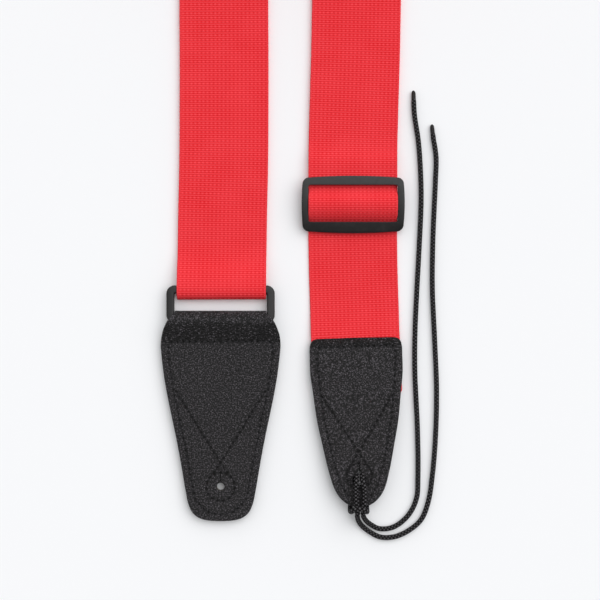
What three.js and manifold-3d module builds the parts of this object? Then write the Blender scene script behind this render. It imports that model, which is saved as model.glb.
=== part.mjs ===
// Adjustable guitar strap laid flat: a doubled webbing band that turns round on its edge at the far end,
// a tri-glide slider on the right leg, a rectangular ring on the left leg, a leather end tab on each leg
// and a braided lace hitched to the right tab. Millimetres, +Z up, lying on z = 0, legs along Y.
import * as THREE from "three";
import { mergeVertices } from "three/addons/utils/BufferGeometryUtils.js";
import Module from "manifold-3d";

const wasm = await Module();
wasm.setup();

// ---- driving dimensions -------------------------------------------------------------------------
const GAP = 0.3;
const WEB = { width: 50, thick: 1.4 };
const LAYER = WEB.thick + GAP;
const LEATHER_A = 1.4;
const LEATHER_B = 1.2;
const TAB_B_STACK = 2 * LEATHER_B + 2 * GAP + WEB.thick;
const CORD = 2.8;

// the two legs of the strap: where each centre line passes at the near end and at the far end
const LEFT = { nearX: -34.4, farX: -33.2 };
const RIGHT = { nearX: 39.7, farX: 41.9 };
const NEAR_Y = -99.8;
const TWIST_Y = 70.2;
const HOOP_Y = 187.2;

const RING = { x: -34.9, width: 60.8, height: 21.2, bar: 4.4, corner: 4.5, topBarY: -93.8 };
const RING_Z = RING.bar / 2 + GAP + WEB.thick;
const RING_LOW_Y = RING.topBarY - RING.height + RING.bar;

const SLIDER = { y: -45.9, width: 57.7, height: 31.9, side: 3.5, thick: 2.6, corner: 3.5 };
const SLIDER_BARS = { far: 4.5, near: 5.6, middle: 3, middleZ: 4.6 };
const SLIDER_ARCH = { nearZ: 4.4, middleZ: 6.6, farZ: 6.7, reach: 13.5 };

const TAB_B = { x: 40.9, y: -121.3, turn: 0.026, lift: 0.0402 };

const SEAM = { groove: 1.2, depth: 0.6, thread: 0.6, height: 0.3 };
const CENTRE = { x: 0.485, y: 0.545 };

// ---- solids -------------------------------------------------------------------------------------
function toSolid(geometry) {
  const bare = geometry.clone();
  bare.deleteAttribute("normal");
  bare.deleteAttribute("uv");
  const merged = mergeVertices(bare, 1e-4);
  const mesh = new wasm.Mesh({
    numProp: 3,
    vertProperties: new Float32Array(merged.attributes.position.array),
    triVerts: new Uint32Array(merged.index.array),
  });
  return new wasm.Manifold(mesh);
}

function toGeometry(solid) {
  const mesh = solid.getMesh();
  const geometry = new THREE.BufferGeometry();
  geometry.setAttribute("position", new THREE.Float32BufferAttribute(mesh.vertProperties, 3));
  geometry.setIndex(Array.from(mesh.triVerts));
  geometry.computeVertexNormals();
  return geometry;
}

const join = (...geometries) => geometries.map(toSolid).reduce((sum, piece) => sum.add(piece));

// Splits the squares of a box's underside along the same diagonals as those of its top, so that a
// twisted band keeps one thickness.
function matchDiagonals(geometry) {
  const index = geometry.index;
  const { start, count } = geometry.groups[3];
  for (let i = start; i < start + count; i += 6) {
    const [a, b, d, c] = [index.getX(i), index.getX(i + 1), index.getX(i + 2), index.getX(i + 4)];
    [a, b, c, a, c, d].forEach((corner, k) => index.setX(i + k, corner));
  }
}

// A band of the given width and thickness through a list of points. sides holds the direction of the
// band's width at each point, and the band's face is square to it and to the route. level lifts the
// band off that route, towards its face.
function band(points, sides, width, thick, level = 0) {
  const steps = points.length - 1;
  const geometry = new THREE.BoxGeometry(1, 1, 1, 2, 1, steps);
  const position = geometry.attributes.position;
  matchDiagonals(geometry);
  const frames = points.map((point, i) => {
    const ahead = points[Math.min(i + 1, steps)];
    const behind = points[Math.max(i - 1, 0)];
    const tangent = ahead.clone().sub(behind).normalize();
    const face = tangent.clone().cross(sides[i]).normalize();
    return { point, face, side: face.clone().cross(tangent) };
  });
  for (let i = 0; i < position.count; i += 1) {
    const { point, face, side } = frames[Math.round((position.getZ(i) + 0.5) * steps)];
    const corner = point.clone().addScaledVector(side, position.getX(i) * width);
    corner.addScaledVector(face, position.getY(i) * thick + level);
    position.setXYZ(i, corner.x, corner.y, corner.z);
  }
  return geometry;
}

const smooth = (points, steps) =>
  new THREE.CatmullRomCurve3(points, false, "centripetal").getSpacedPoints(steps);

// ---- webbing ------------------------------------------------------------------------------------
const legX = (leg, y) => leg.nearX + ((leg.farX - leg.nearX) * (y - NEAR_Y)) / (TWIST_Y - NEAR_Y);
const legLean = (leg) => (leg.farX - leg.nearX) / (TWIST_Y - NEAR_Y);

const alongLeg = (leg, stations) => stations.map(([y, z]) => new THREE.Vector3(legX(leg, y), y, z));

// Webbing that lies along a leg, through points of its middle surface. It starts out towards the far
// end of the strap (way 1) or towards the near end (way -1).
function legWebbing(leg, points, way) {
  const side = new THREE.Vector3(-1, legLean(leg), 0).normalize().multiplyScalar(way);
  return band(points, points.map(() => side), WEB.width, WEB.thick);
}

// A plain stretch of a leg, through [y, z] stations.
function legBand(leg, stations, steps) {
  const way = stations.at(-1)[0] > stations[0][0] ? 1 : -1;
  return legWebbing(leg, smooth(alongLeg(leg, stations), steps), way);
}

// The far end: each leg turns up onto its inner edge, and the band stands on that edge round a half
// circle. level lifts a layer off the lower one, to the inside of the turn.
function farLoop(level) {
  const left = legX(LEFT, HOOP_Y);
  const right = legX(RIGHT, HOOP_Y);
  const radius = (right - left) / 2;
  const turnSteps = 14;
  const hoopSteps = 18;
  const route = [];
  for (let i = 0; i < turnSteps; i += 1) {
    const share = i / turnSteps;
    const y = TWIST_Y + GAP + (HOOP_Y - TWIST_Y - GAP) * share;
    route.push({ x: legX(LEFT, y), y, roll: (Math.PI / 2) * THREE.MathUtils.smoothstep(share, 0, 1) });
  }
  for (let i = 0; i <= hoopSteps; i += 1) {
    const angle = Math.PI - (Math.PI * i) / hoopSteps;
    const x = (left + right) / 2 + radius * Math.cos(angle);
    route.push({ x, y: HOOP_Y + radius * Math.sin(angle), roll: Math.PI / 2 });
  }
  for (let i = turnSteps - 1; i >= 0; i -= 1) {
    const back = route[i];
    route.push({ x: legX(RIGHT, back.y), y: back.y, roll: back.roll });
  }
  const plan = route.map((at) => new THREE.Vector3(at.x, at.y, 0));
  const points = [];
  const sides = [];
  route.forEach((at, i) => {
    const ahead = plan[Math.min(i + 1, plan.length - 1)];
    const behind = plan[Math.max(i - 1, 0)];
    const tangent = ahead.clone().sub(behind).normalize();
    const flat = new THREE.Vector3(-tangent.y, tangent.x, 0);
    const up = new THREE.Vector3(0, 0, 1);
    const side = flat.clone().multiplyScalar(Math.cos(at.roll)).addScaledVector(up, Math.sin(at.roll));
    const rise = (WEB.width / 2) * Math.sin(at.roll) + (WEB.thick / 2) * Math.cos(at.roll);
    points.push(plan[i].clone().setZ(rise));
    sides.push(side);
  });
  return band(points, sides, WEB.width, WEB.thick, level);
}

// The fold round the ring's far bar, from the front layer down to the return layer.
function ringFold(splitY, frontZ) {
  const reach = RING.bar / 2 + GAP + WEB.thick / 2;
  const returnZ = RING_Z - reach;
  const stations = [[splitY, frontZ], [-88.4, RING_Z + reach - 0.8]];
  for (let i = 0; i <= 8; i += 1) {
    const angle = Math.PI / 2 + (Math.PI * i) / 8;
    stations.push([RING.topBarY + reach * Math.cos(angle), RING_Z + reach * Math.sin(angle)]);
  }
  stations.push([-88.4, returnZ], [splitY, returnZ]);
  return legWebbing(LEFT, alongLeg(LEFT, stations), -1);
}

// The webbing's own end: it comes down to the slider, wraps its middle bar and is sewn back to itself.
function sewnEnd(startY) {
  const reach = SLIDER_BARS.middle / 2 + GAP + WEB.thick / 2;
  const barZ = SLIDER_BARS.middleZ;
  const stations = [[startY, 0.75], [-16, 1.1], [-21, 2.25], [-26, 2.4], [-34, 2.5], [-38, 3.9], [-42, 6.3]];
  for (let i = 0; i <= 7; i += 1) {
    const angle = Math.PI / 2 + (Math.PI * i) / 7;
    stations.push([SLIDER.y + reach * Math.cos(angle), barZ + reach * Math.sin(angle)]);
  }
  stations.push([-41, 1.2], [-36, 0.7], [-24.2, 0.7]);
  const side = [[0, -26.8], [20.5, -26.8], [20.5, -33.4], [0, -33.4]];
  const routes = [side, mirrored(side)].map((route) => plan(route.map(([x, y]) => [x + legX(RIGHT, y), y])));
  const seam = sewingLine(routes, 0, 1);
  const webbing = toSolid(legWebbing(RIGHT, alongLeg(RIGHT, stations), -1)).subtract(seam.groove);
  return { webbing, thread: seam.thread };
}

// The webbing's other end inside the right tab, cut to a V.
function anchorEnd() {
  const half = WEB.width / 2 - 1;
  const shape = new THREE.Shape();
  shape.moveTo(-half, -3.8);
  shape.lineTo(-half + 0.5, -31);
  shape.lineTo(-2, -62);
  shape.lineTo(2, -62);
  shape.lineTo(half - 0.5, -31);
  shape.lineTo(half, -3.8);
  return slab(shape, LEATHER_B + GAP, WEB.thick);
}

// ---- flat goods ---------------------------------------------------------------------------------
function slab(shape, bottom, thick) {
  const geometry = new THREE.ExtrudeGeometry(shape, { depth: thick, bevelEnabled: false, curveSegments: 6 });
  return geometry.translate(0, 0, bottom);
}

// A tab's outline from [half width, y] stations down its right side, mirrored to the left.
function outline(halfWidths, smoothFrom, steps) {
  const straight = halfWidths.slice(0, smoothFrom).map(([x, y]) => new THREE.Vector2(x, y));
  const round = halfWidths.slice(smoothFrom).map(([x, y]) => new THREE.Vector2(x, y));
  const right = [...straight, ...new THREE.SplineCurve(round).getPoints(steps)];
  const left = right.slice(0, -1).reverse().map((point) => new THREE.Vector2(-point.x, point.y));
  return new THREE.Shape([...right, ...left]);
}

// One sewing line laid in a groove: the tool cuts the groove and the thread lies in it.
// routes are plan polylines; surface is the height of the face, and into points into the material.
function sewingLine(routes, surface, into) {
  const across = (route) => route.map((point, i) => {
    const ahead = route[Math.min(i + 1, route.length - 1)];
    const behind = route[Math.max(i - 1, 0)];
    return new THREE.Vector3().subVectors(ahead, behind).normalize().cross(new THREE.Vector3(0, 0, 1));
  });
  const lay = (width, thick, z) =>
    join(...routes.map((route) => {
      const points = route.map((point) => new THREE.Vector3(point.x, point.y, z));
      return band(points, across(points), width, thick);
    }));
  return {
    groove: lay(SEAM.groove, 2 * SEAM.depth, surface),
    thread: lay(SEAM.thread, SEAM.height, surface + (into * SEAM.depth) / 2),
  };
}

const plan = (pairs) => pairs.map(([x, y]) => new THREE.Vector3(x, y, 0));
const mirrored = (pairs) => pairs.map(([x, y]) => [-x, y]);

// The V-shaped sewing: two arms that cross below the webbing's end and pass into a ring round the hole.
function ribbonRoutes({ top, topX, crossY, eyeY, eye }) {
  const ring = [];
  for (let i = 0; i <= 16; i += 1) {
    const angle = (2 * Math.PI * i) / 16;
    ring.push([eye * Math.sin(angle), eyeY + eye * Math.cos(angle)]);
  }
  const reach = eye * 0.97;
  const arm = [[topX, top], [0, crossY], [-reach, eyeY + eye * 0.35]];
  return [plan(ring), plan(arm), plan(mirrored(arm))];
}

// ---- the left tab -------------------------------------------------------------------------------
// its frame: origin on the axis of the ring's near bar, tip towards -Y
const TAB_A_TIP = -114.1;
const TAB_A_OUTLINE = [
  [25.6, 4.2], [25.7, -2.2], [29.6, -4.2], [32.4, -7], [33.5, -13.5], [33.3, -19.2], [31.9, -31],
  [30, -42.3], [27.1, -55.9], [24.5, -68.3], [21.7, -83.6], [19.4, -96.6], [17.5, -103.8],
  [13.4, -109.3], [8.2, -112.7], [0, TAB_A_TIP],
];
const TAB_A_HOLE = { y: -94.1, r: 2.2, slit: 6, cut: 0.8 };

function tabASection() {
  const shape = new THREE.Shape();
  const outer = RING_Z;
  const inner = RING.bar / 2 + GAP;
  shape.moveTo(TAB_A_TIP - 1, -outer);
  shape.lineTo(0, -outer);
  shape.absarc(0, 0, outer, -Math.PI / 2, Math.PI / 2, false);
  shape.lineTo(-3, outer - 0.4);
  shape.lineTo(-8, outer - 1.8);
  shape.lineTo(-12.4, 4.8 - RING_Z);
  shape.lineTo(TAB_A_TIP - 1, 4.8 - RING_Z);
  shape.lineTo(TAB_A_TIP - 1, 3.4 - RING_Z);
  shape.lineTo(-12.4, 3.4 - RING_Z);
  shape.lineTo(-8, outer - 3.2);
  shape.lineTo(-3, inner - 0.2);
  shape.absarc(0, 0, inner, Math.PI / 2, -Math.PI / 2, true);
  shape.lineTo(TAB_A_TIP - 1, -inner);
  return shape;
}

// A button hole: a round hole and a narrow slit above it, cut right through.
function buttonHole({ y, r, slit, cut }) {
  const hole = new THREE.CylinderGeometry(r, r, 30, 16).rotateX(Math.PI / 2).translate(0, y, 0);
  const line = new THREE.BoxGeometry(cut, slit + r, 30).translate(0, y + (slit + r) / 2, 0);
  return join(hole, line);
}

function tabAParts() {
  const half = new THREE.ExtrudeGeometry(tabASection(), { depth: 70, bevelEnabled: false, curveSegments: 12 });
  const strip = half.rotateY(Math.PI / 2).rotateX(Math.PI / 2).translate(-35, 0, 0);
  const plate = slab(outline(TAB_A_OUTLINE, 3, 22), -20, 40);
  const hole = buttonHole(TAB_A_HOLE);
  const edge = [
    [0, -14.6], [26.5, -14.6], [29.2, -16.2], [29.3, -19.5], [27.9, -31], [26, -42.3], [23.1, -55.9],
    [20.5, -68.3], [17.7, -83.6], [15.4, -96], [13.8, -101.6], [11, -105.4], [6.6, -108.3], [0, -109.8],
  ];
  const perimeter = [plan(edge), plan(mirrored(edge))];
  const ribbon = ribbonRoutes({ top: -40.6, topX: 25, crossY: -80.7, eyeY: TAB_A_HOLE.y, eye: 8 });
  const front = 4.8 - RING_Z;
  const seams = {
    edge_thread_front: sewingLine(perimeter, front, -1),
    edge_thread_back: sewingLine(perimeter, -RING_Z, 1),
    v_thread_front: sewingLine(ribbon, front, -1),
    v_thread_back: sewingLine(ribbon, -RING_Z, 1),
  };
  let leather = toSolid(strip).intersect(toSolid(plate)).subtract(hole);
  for (const seam of Object.values(seams)) {
    leather = leather.subtract(seam.groove);
  }
  const fillerOutline = [[24, -5.4], ...TAB_A_OUTLINE.slice(4).map(([x, y]) => [Math.max(x - 0.6, 0), y + 0.5])];
  fillerOutline[1] = [32, -13.5];
  const filler = toSolid(slab(outline(fillerOutline, 1, 18), LEATHER_A + GAP - RING_Z, WEB.thick)).subtract(hole);
  return { leather, filler, seams };
}

// ---- the right tab ------------------------------------------------------------------------------
// its frame: origin at the middle of its far edge on its underside, tip towards -Y
const TAB_B_OUTLINE = [
  [22.2, 0], [25.1, -1.4], [25.8, -4.5], [25.85, -10.5], [24.3, -31], [22.5, -45.5], [19.7, -59.9],
  [16.8, -74], [13.4, -85.3], [9.3, -90.9], [5, -93.8], [0, -94.5],
];
const TAB_B_EYE_Y = -77;

// The opening worn round the lace: a narrow slit that widens to a rounded mouth.
function lacedOpening() {
  const shape = new THREE.Shape();
  shape.moveTo(0.4, -69);
  shape.lineTo(0.5, -72);
  shape.lineTo(2.9, -75.2);
  shape.lineTo(3.7, -78.6);
  shape.quadraticCurveTo(4.4, -81.6, 2.4, -82.6);
  shape.lineTo(-2.4, -82.6);
  shape.quadraticCurveTo(-4.4, -81.6, -3.7, -78.6);
  shape.lineTo(-2.9, -75.2);
  shape.lineTo(-0.5, -72);
  shape.lineTo(-0.4, -69);
  return toSolid(slab(shape, -20, 40));
}

function tabBParts() {
  const shape = outline(TAB_B_OUTLINE, 2, 20);
  const opening = lacedOpening();
  const edge = [
    [0, -5], [20.6, -5], [21.9, -6.4], [22.1, -10.5], [20.6, -31], [18.8, -45.5], [16, -59.9],
    [13.1, -73.2], [10, -83], [6.8, -87.6], [3, -90], [0, -90.4],
  ];
  const perimeter = [plan(edge), plan(mirrored(edge))];
  const ribbon = ribbonRoutes({ top: -32.5, topX: 19.6, crossY: -64.2, eyeY: TAB_B_EYE_Y, eye: 7 });
  const front = TAB_B_STACK;
  const seams = {
    edge_thread_front: sewingLine(perimeter, front, -1),
    edge_thread_back: sewingLine(perimeter, 0, 1),
    v_thread_front: sewingLine(ribbon, front, -1),
    v_thread_back: sewingLine(ribbon, 0, 1),
  };
  const cover = (bottom, side) =>
    Object.entries(seams)
      .filter(([name]) => name.endsWith(side))
      .reduce((sum, [, seam]) => sum.subtract(seam.groove),
        toSolid(slab(shape, bottom, LEATHER_B)).subtract(opening));
  return {
    back_leather: cover(0, "back"),
    front_leather: cover(front - LEATHER_B, "front"),
    webbing: toSolid(anchorEnd()),
    seams,
  };
}

// ---- ring and slider ----------------------------------------------------------------------------
function roundedFrame(width, height, corner) {
  const shape = new THREE.Shape();
  const x = width / 2 - corner;
  const y = height / 2 - corner;
  shape.absarc(x, y, corner, 0, Math.PI / 2, false);
  shape.absarc(-x, y, corner, Math.PI / 2, Math.PI, false);
  shape.absarc(-x, -y, corner, Math.PI, 1.5 * Math.PI, false);
  shape.absarc(x, -y, corner, 1.5 * Math.PI, 2 * Math.PI, false);
  return shape;
}

function ringGeometry() {
  const bevel = 2;
  const side = 2 * (RING.bar - bevel);
  const shape = roundedFrame(RING.width - 2 * bevel, RING.height - 2 * bevel, RING.corner - bevel);
  const core = RING.bar - 2 * bevel;
  const window = roundedFrame(RING.width - side, RING.height - side, bevel + 0.5);
  shape.holes.push(window);
  const options = { depth: core, bevelThickness: bevel, bevelSize: bevel, bevelSegments: 2, curveSegments: 4 };
  return new THREE.ExtrudeGeometry(shape, options).translate(0, 0, -core / 2);
}

function sliderSolid() {
  const { nearZ, middleZ, farZ, reach } = SLIDER_ARCH;
  const bow = (nearZ + farZ) / 2 - middleZ;
  const height = (y) => middleZ + ((farZ - nearZ) / 2) * (y / reach) + bow * (y / reach) ** 2;
  const end = SLIDER.height / 2 + 1;
  const across = [];
  const steps = 10;
  for (let i = 0; i <= steps; i += 1) {
    across.push(-end + (2 * end * i) / steps);
  }
  const top = across.map((y) => new THREE.Vector3(0, y, height(y)));
  const arched = band(top, top.map(() => new THREE.Vector3(-1, 0, 0)), SLIDER.width + 4, SLIDER.thick);
  const frame = roundedFrame(SLIDER.width, SLIDER.height, SLIDER.corner);
  const windowHeight = SLIDER.height - SLIDER_BARS.far - SLIDER_BARS.near;
  const windowY = (SLIDER_BARS.near - SLIDER_BARS.far) / 2;
  const window = roundedFrame(SLIDER.width - 2 * SLIDER.side, windowHeight, 1.2);
  const opening = slab(window, -20, 40).translate(0, windowY, 0);
  const length = SLIDER.width - SLIDER.side;
  const bar = new THREE.CylinderGeometry(SLIDER_BARS.middle / 2, SLIDER_BARS.middle / 2, length, 12);
  bar.rotateZ(Math.PI / 2).translate(0, 0, SLIDER_BARS.middleZ);
  const cheeks = [-1, 1].map((way) => {
    const x = (way * (SLIDER.width - SLIDER.side)) / 2;
    return new THREE.BoxGeometry(SLIDER.side - 0.4, 6, 2.6).translate(x, 0, SLIDER_BARS.middleZ + 0.2);
  });
  const solid = toSolid(arched).intersect(toSolid(slab(frame, -20, 40))).subtract(toSolid(opening));
  return solid.add(join(bar, ...cheeks));
}

// ---- lace ---------------------------------------------------------------------------------------
function cord(points, steps) {
  const section = new THREE.Shape();
  for (let i = 0; i < 8; i += 1) {
    const angle = (Math.PI * (2 * i + 1)) / 8;
    const at = [(CORD / 2) * Math.cos(angle), (CORD / 2) * Math.sin(angle)];
    if (i === 0) {
      section.moveTo(...at);
    } else {
      section.lineTo(...at);
    }
  }
  const curve = new THREE.CatmullRomCurve3(points.map((at) => new THREE.Vector3(...at)), false, "centripetal");
  return new THREE.ExtrudeGeometry(section, { steps, extrudePath: curve, bevelEnabled: false });
}

// the lark's head: up the tab's front, down through the opening, round the tip's edge, over both strands
// and back the same way
const HITCH = [
  [41.9, -219.6, 8.6], [41.4, -214, 10.1], [40.9, -207, 9.9], [41.3, -200.9, 9.3], [41.6, -198, 6.3],
  [41.1, -199.2, 2.8], [39.8, -204, 1.55], [38.6, -210.5, 1.6], [38.1, -215.8, 1.9], [38, -218.2, 5],
  [38.5, -217.9, 9.4], [39.4, -216.9, 12.2], [41.2, -216.1, 13.4], [42.7, -215.9, 13.6],
  [44.2, -216.1, 13.4], [46, -216.9, 12.2], [46.9, -217.9, 9.4], [47.3, -218.2, 5], [47.2, -215.8, 1.9],
  [46.7, -210.5, 1.6], [45.7, -204, 1.55], [45, -199.2, 2.8], [44.6, -198, 6.3], [44.9, -200.9, 9.3],
  [45.8, -207, 9.9], [45.5, -214, 10.1], [44.9, -219.3, 8.6],
];
const INNER_TAIL = [
  [45, -220.3, 7.9], [46.2, -222.9, 5], [49.2, -226, 2], [54.6, -228.7, 1.5], [62.7, -227.6, 1.5],
  [70.8, -221, 1.5], [75.4, -211.5, 1.5], [76.2, -199, 1.5], [75.9, -172, 1.5], [74.5, -141, 1.5],
  [74.5, -120, 1.5], [75.4, -98, 1.5], [76.9, -70, 1.5], [78, -44, 1.5], [77.6, -26, 1.5],
  [76.4, -10, 1.5], [74.2, 5, 1.5], [73.6, 18.2, 1.5],
];
const OUTER_TAIL = [
  [41.7, -220.6, 7.9], [42.4, -223.5, 5], [44.6, -227, 2], [48.6, -230.2, 1.5], [55, -233.4, 1.5],
  [63, -233.2, 1.5], [71, -229.7, 1.5], [78, -223.5, 1.5], [82, -213.5, 1.5], [84.4, -198, 1.5],
  [86.2, -175, 1.5], [86.7, -150, 1.5], [85.6, -122, 1.5], [84.3, -92, 1.5], [84.7, -64, 1.5],
  [86, -34, 1.5], [86.4, -19, 1.5], [84.8, -8, 1.5], [84, -0.9, 1.5],
];

// ---- the strap ----------------------------------------------------------------------------------
const LOOKS = {
  webbing: { color: 0xe52f3b, roughness: 0.75, metalness: 0 },
  leather: { color: 0x2e2c2e, roughness: 0.55, metalness: 0 },
  filler: { color: 0x8c8378, roughness: 0.9, metalness: 0 },
  thread: { color: 0x1c1b1c, roughness: 0.7, metalness: 0 },
  plastic: { color: 0x1d1d1d, roughness: 0.45, metalness: 0 },
  lace: { color: 0x19191a, roughness: 0.8, metalness: 0 },
};

function named(name, look, shape) {
  const geometry = shape.isBufferGeometry ? shape : toGeometry(shape);
  const mesh = new THREE.Mesh(geometry, new THREE.MeshStandardMaterial(LOOKS[look]));
  mesh.name = name;
  return mesh;
}

const FOLD_SPLIT_Y = -84;
const PASS_FAR_Y = -26.5;
const PASS_NEAR_Y = -64.5;
const SEWN_START_Y = -12;
const FRONT_Z = WEB.thick / 2 + LAYER;
const RETURN_Z = WEB.thick / 2;
const FOLD_FRONT_Z = 5.2;

function webbingMeshes() {
  const leftFront = [
    [FOLD_SPLIT_Y + GAP, FOLD_FRONT_Z], [-78, 3.5], [-71, FRONT_Z + 0.1], [-60, FRONT_Z], [TWIST_Y, FRONT_Z],
  ];
  const rightFront = [
    [PASS_FAR_Y + GAP, 4.1], [-21, 4], [-16, 2.95], [-11, FRONT_Z + 0.05], [0, FRONT_Z], [TWIST_Y, FRONT_Z],
  ];
  const pass = [
    [PASS_FAR_Y, 4.1], [-30, 4.15], [-34.8, 4.4], [-38.5, 5.9], [-42, 8.3], [SLIDER.y, 9.1], [-49.5, 8.1],
    [-53, 5], [-56, 2.4], [-60, 1.3], [PASS_NEAR_Y, 1.05],
  ];
  const sewn = sewnEnd(SEWN_START_Y);
  const lower = [[PASS_NEAR_Y - GAP, 1.05], [-85, 0.75], [-105, 1], [-118, 2], [TAB_B.y - 2, 2.28]];
  return [
    named("webbing_front_far_loop", "webbing", farLoop(LAYER)),
    named("webbing_return_far_loop", "webbing", farLoop(0)),
    named("webbing_front_left_leg", "webbing", legBand(LEFT, leftFront, 16)),
    named("webbing_return_left_leg", "webbing",
      legBand(LEFT, [[FOLD_SPLIT_Y + GAP, RETURN_Z], [TWIST_Y, RETURN_Z]], 2)),
    named("webbing_ring_fold", "webbing", ringFold(FOLD_SPLIT_Y, FOLD_FRONT_Z)),
    named("webbing_front_right_leg", "webbing", legBand(RIGHT, rightFront, 16)),
    named("webbing_return_right_leg", "webbing",
      legBand(RIGHT, [[SEWN_START_Y + GAP, RETURN_Z + 0.05], [TWIST_Y, RETURN_Z]], 2)),
    named("webbing_slider_pass", "webbing", legBand(RIGHT, pass, 24)),
    named("webbing_sewn_end", "webbing", sewn.webbing),
    named("webbing_end_thread", "thread", sewn.thread),
    named("webbing_lower_right_leg", "webbing", legBand(RIGHT, lower, 12)),
  ];
}

function tabAGroup() {
  const { leather, filler, seams } = tabAParts();
  const group = new THREE.Group();
  group.position.set(RING.x, RING_LOW_Y, RING_Z);
  group.add(named("tab_a_leather", "leather", leather));
  group.add(named("tab_a_filler", "filler", filler));
  for (const [name, seam] of Object.entries(seams)) {
    group.add(named(`tab_a_${name}`, "thread", seam.thread));
  }
  return group;
}

function tabBGroup() {
  const parts = tabBParts();
  const group = new THREE.Group();
  group.position.set(TAB_B.x, TAB_B.y, 0);
  group.rotation.set(-TAB_B.lift, 0, TAB_B.turn, "ZYX");
  group.add(named("tab_b_back_leather", "leather", parts.back_leather));
  group.add(named("tab_b_front_leather", "leather", parts.front_leather));
  group.add(named("webbing_anchor_end", "webbing", parts.webbing));
  for (const [name, seam] of Object.entries(parts.seams)) {
    group.add(named(`tab_b_${name}`, "thread", seam.thread));
  }
  return group;
}

function hardwareMeshes() {
  const ring = named("rectangular_ring", "plastic", ringGeometry());
  ring.position.set(RING.x, RING.topBarY - (RING.height - RING.bar) / 2, RING_Z);
  const slider = named("tri_glide_slider", "plastic", sliderSolid());
  slider.position.set(legX(RIGHT, SLIDER.y), SLIDER.y, 0);
  slider.rotation.z = -legLean(RIGHT);
  return [ring, slider];
}

function laceMeshes() {
  return [
    named("lace_hitch", "lace", cord(HITCH, 52)),
    named("lace_inner_tail", "lace", cord(INNER_TAIL, 34)),
    named("lace_outer_tail", "lace", cord(OUTER_TAIL, 34)),
  ];
}

const group = new THREE.Group();
group.name = "guitar_strap";
group.position.set(-CENTRE.x, -CENTRE.y, 0);
group.add(...webbingMeshes(), ...hardwareMeshes(), tabAGroup(), tabBGroup(), ...laceMeshes());

export default group;
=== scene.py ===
"""Guitar strap: woven webbing, a moulded ring and slider, two leather tabs and a braided lace."""

import logging
import math
from dataclasses import dataclass
from enum import Enum
from typing import Callable, Iterable, Sequence

import bmesh
import bpy
import numpy as np
from bpy.types import Material, Node, NodeSocket, NodeTree, Object
from mathutils import Matrix, Vector, noise
from mathutils.geometry import delaunay_2d_cdt
from mathutils.kdtree import KDTree


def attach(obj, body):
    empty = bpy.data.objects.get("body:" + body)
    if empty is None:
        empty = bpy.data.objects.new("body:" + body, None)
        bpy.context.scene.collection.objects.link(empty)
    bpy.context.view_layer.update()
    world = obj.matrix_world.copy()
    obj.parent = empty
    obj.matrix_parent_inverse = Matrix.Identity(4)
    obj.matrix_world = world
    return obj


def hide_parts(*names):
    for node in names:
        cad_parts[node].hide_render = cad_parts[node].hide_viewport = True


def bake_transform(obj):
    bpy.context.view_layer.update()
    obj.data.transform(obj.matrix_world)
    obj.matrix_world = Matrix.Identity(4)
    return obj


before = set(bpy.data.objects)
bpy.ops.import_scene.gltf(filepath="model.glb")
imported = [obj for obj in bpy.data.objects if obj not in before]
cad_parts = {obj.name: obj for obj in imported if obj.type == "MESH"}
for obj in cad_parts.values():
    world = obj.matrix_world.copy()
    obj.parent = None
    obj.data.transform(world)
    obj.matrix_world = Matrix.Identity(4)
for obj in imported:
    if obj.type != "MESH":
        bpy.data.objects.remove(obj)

LOG = logging.getLogger("guitar_strap")
MM = 0.001
CENTRE = np.array([0.485, 0.545, 0.0])  # from the maker's origin to the frame's, in millimetres

Points = np.ndarray
Pairs = Sequence[Sequence[float]]


class Body(Enum):
    """The parts of the strap that move against each other."""

    STRAP = "strap"
    SLIDER = "slider"
    FOLD = "fold"
    RING = "ring"
    LEFT_TAB = "left_tab"


class Slot(Enum):
    """The finishes that the record names."""

    WEBBING = "webbing"
    LEATHER = "leather"
    FILLER = "filler"
    THREAD = "thread"
    HARDWARE = "hardware"
    LACE = "lace"


def placed(points: Points) -> Points:
    """Points in millimetres from the maker's origin, as metres in the frame."""
    return (np.asarray(points, float) - CENTRE) * MM


# ---- lines --------------------------------------------------------------------------------------


def unit(vectors: Points) -> Points:
    """The same vectors with length 1."""
    return vectors / np.maximum(np.linalg.norm(vectors, axis=-1, keepdims=True), 1e-9)


def tangents(line: Points) -> Points:
    """The directions along a line, one for each of its points."""
    return unit(np.vstack([line[1:], line[-1:]]) - np.vstack([line[:1], line[:-1]]))


def run_of(line: Points) -> Points:
    """The distance from a line's start to each of its points."""
    return np.concatenate([[0.0], np.cumsum(np.linalg.norm(np.diff(line, axis=0), axis=1))])


def evened(line: Points, step: float) -> Points:
    """A line with its points spaced evenly.

    Args:
        line: the points of the line.
        step: the largest distance between two points of the result.

    Returns:
        the new points, with the ends kept.
    """
    run = run_of(line)
    at = np.linspace(0.0, run[-1], max(int(math.ceil(run[-1] / step)), 1) + 1)
    return np.stack([np.interp(at, run, line[:, k]) for k in range(line.shape[1])], axis=1)


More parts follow.
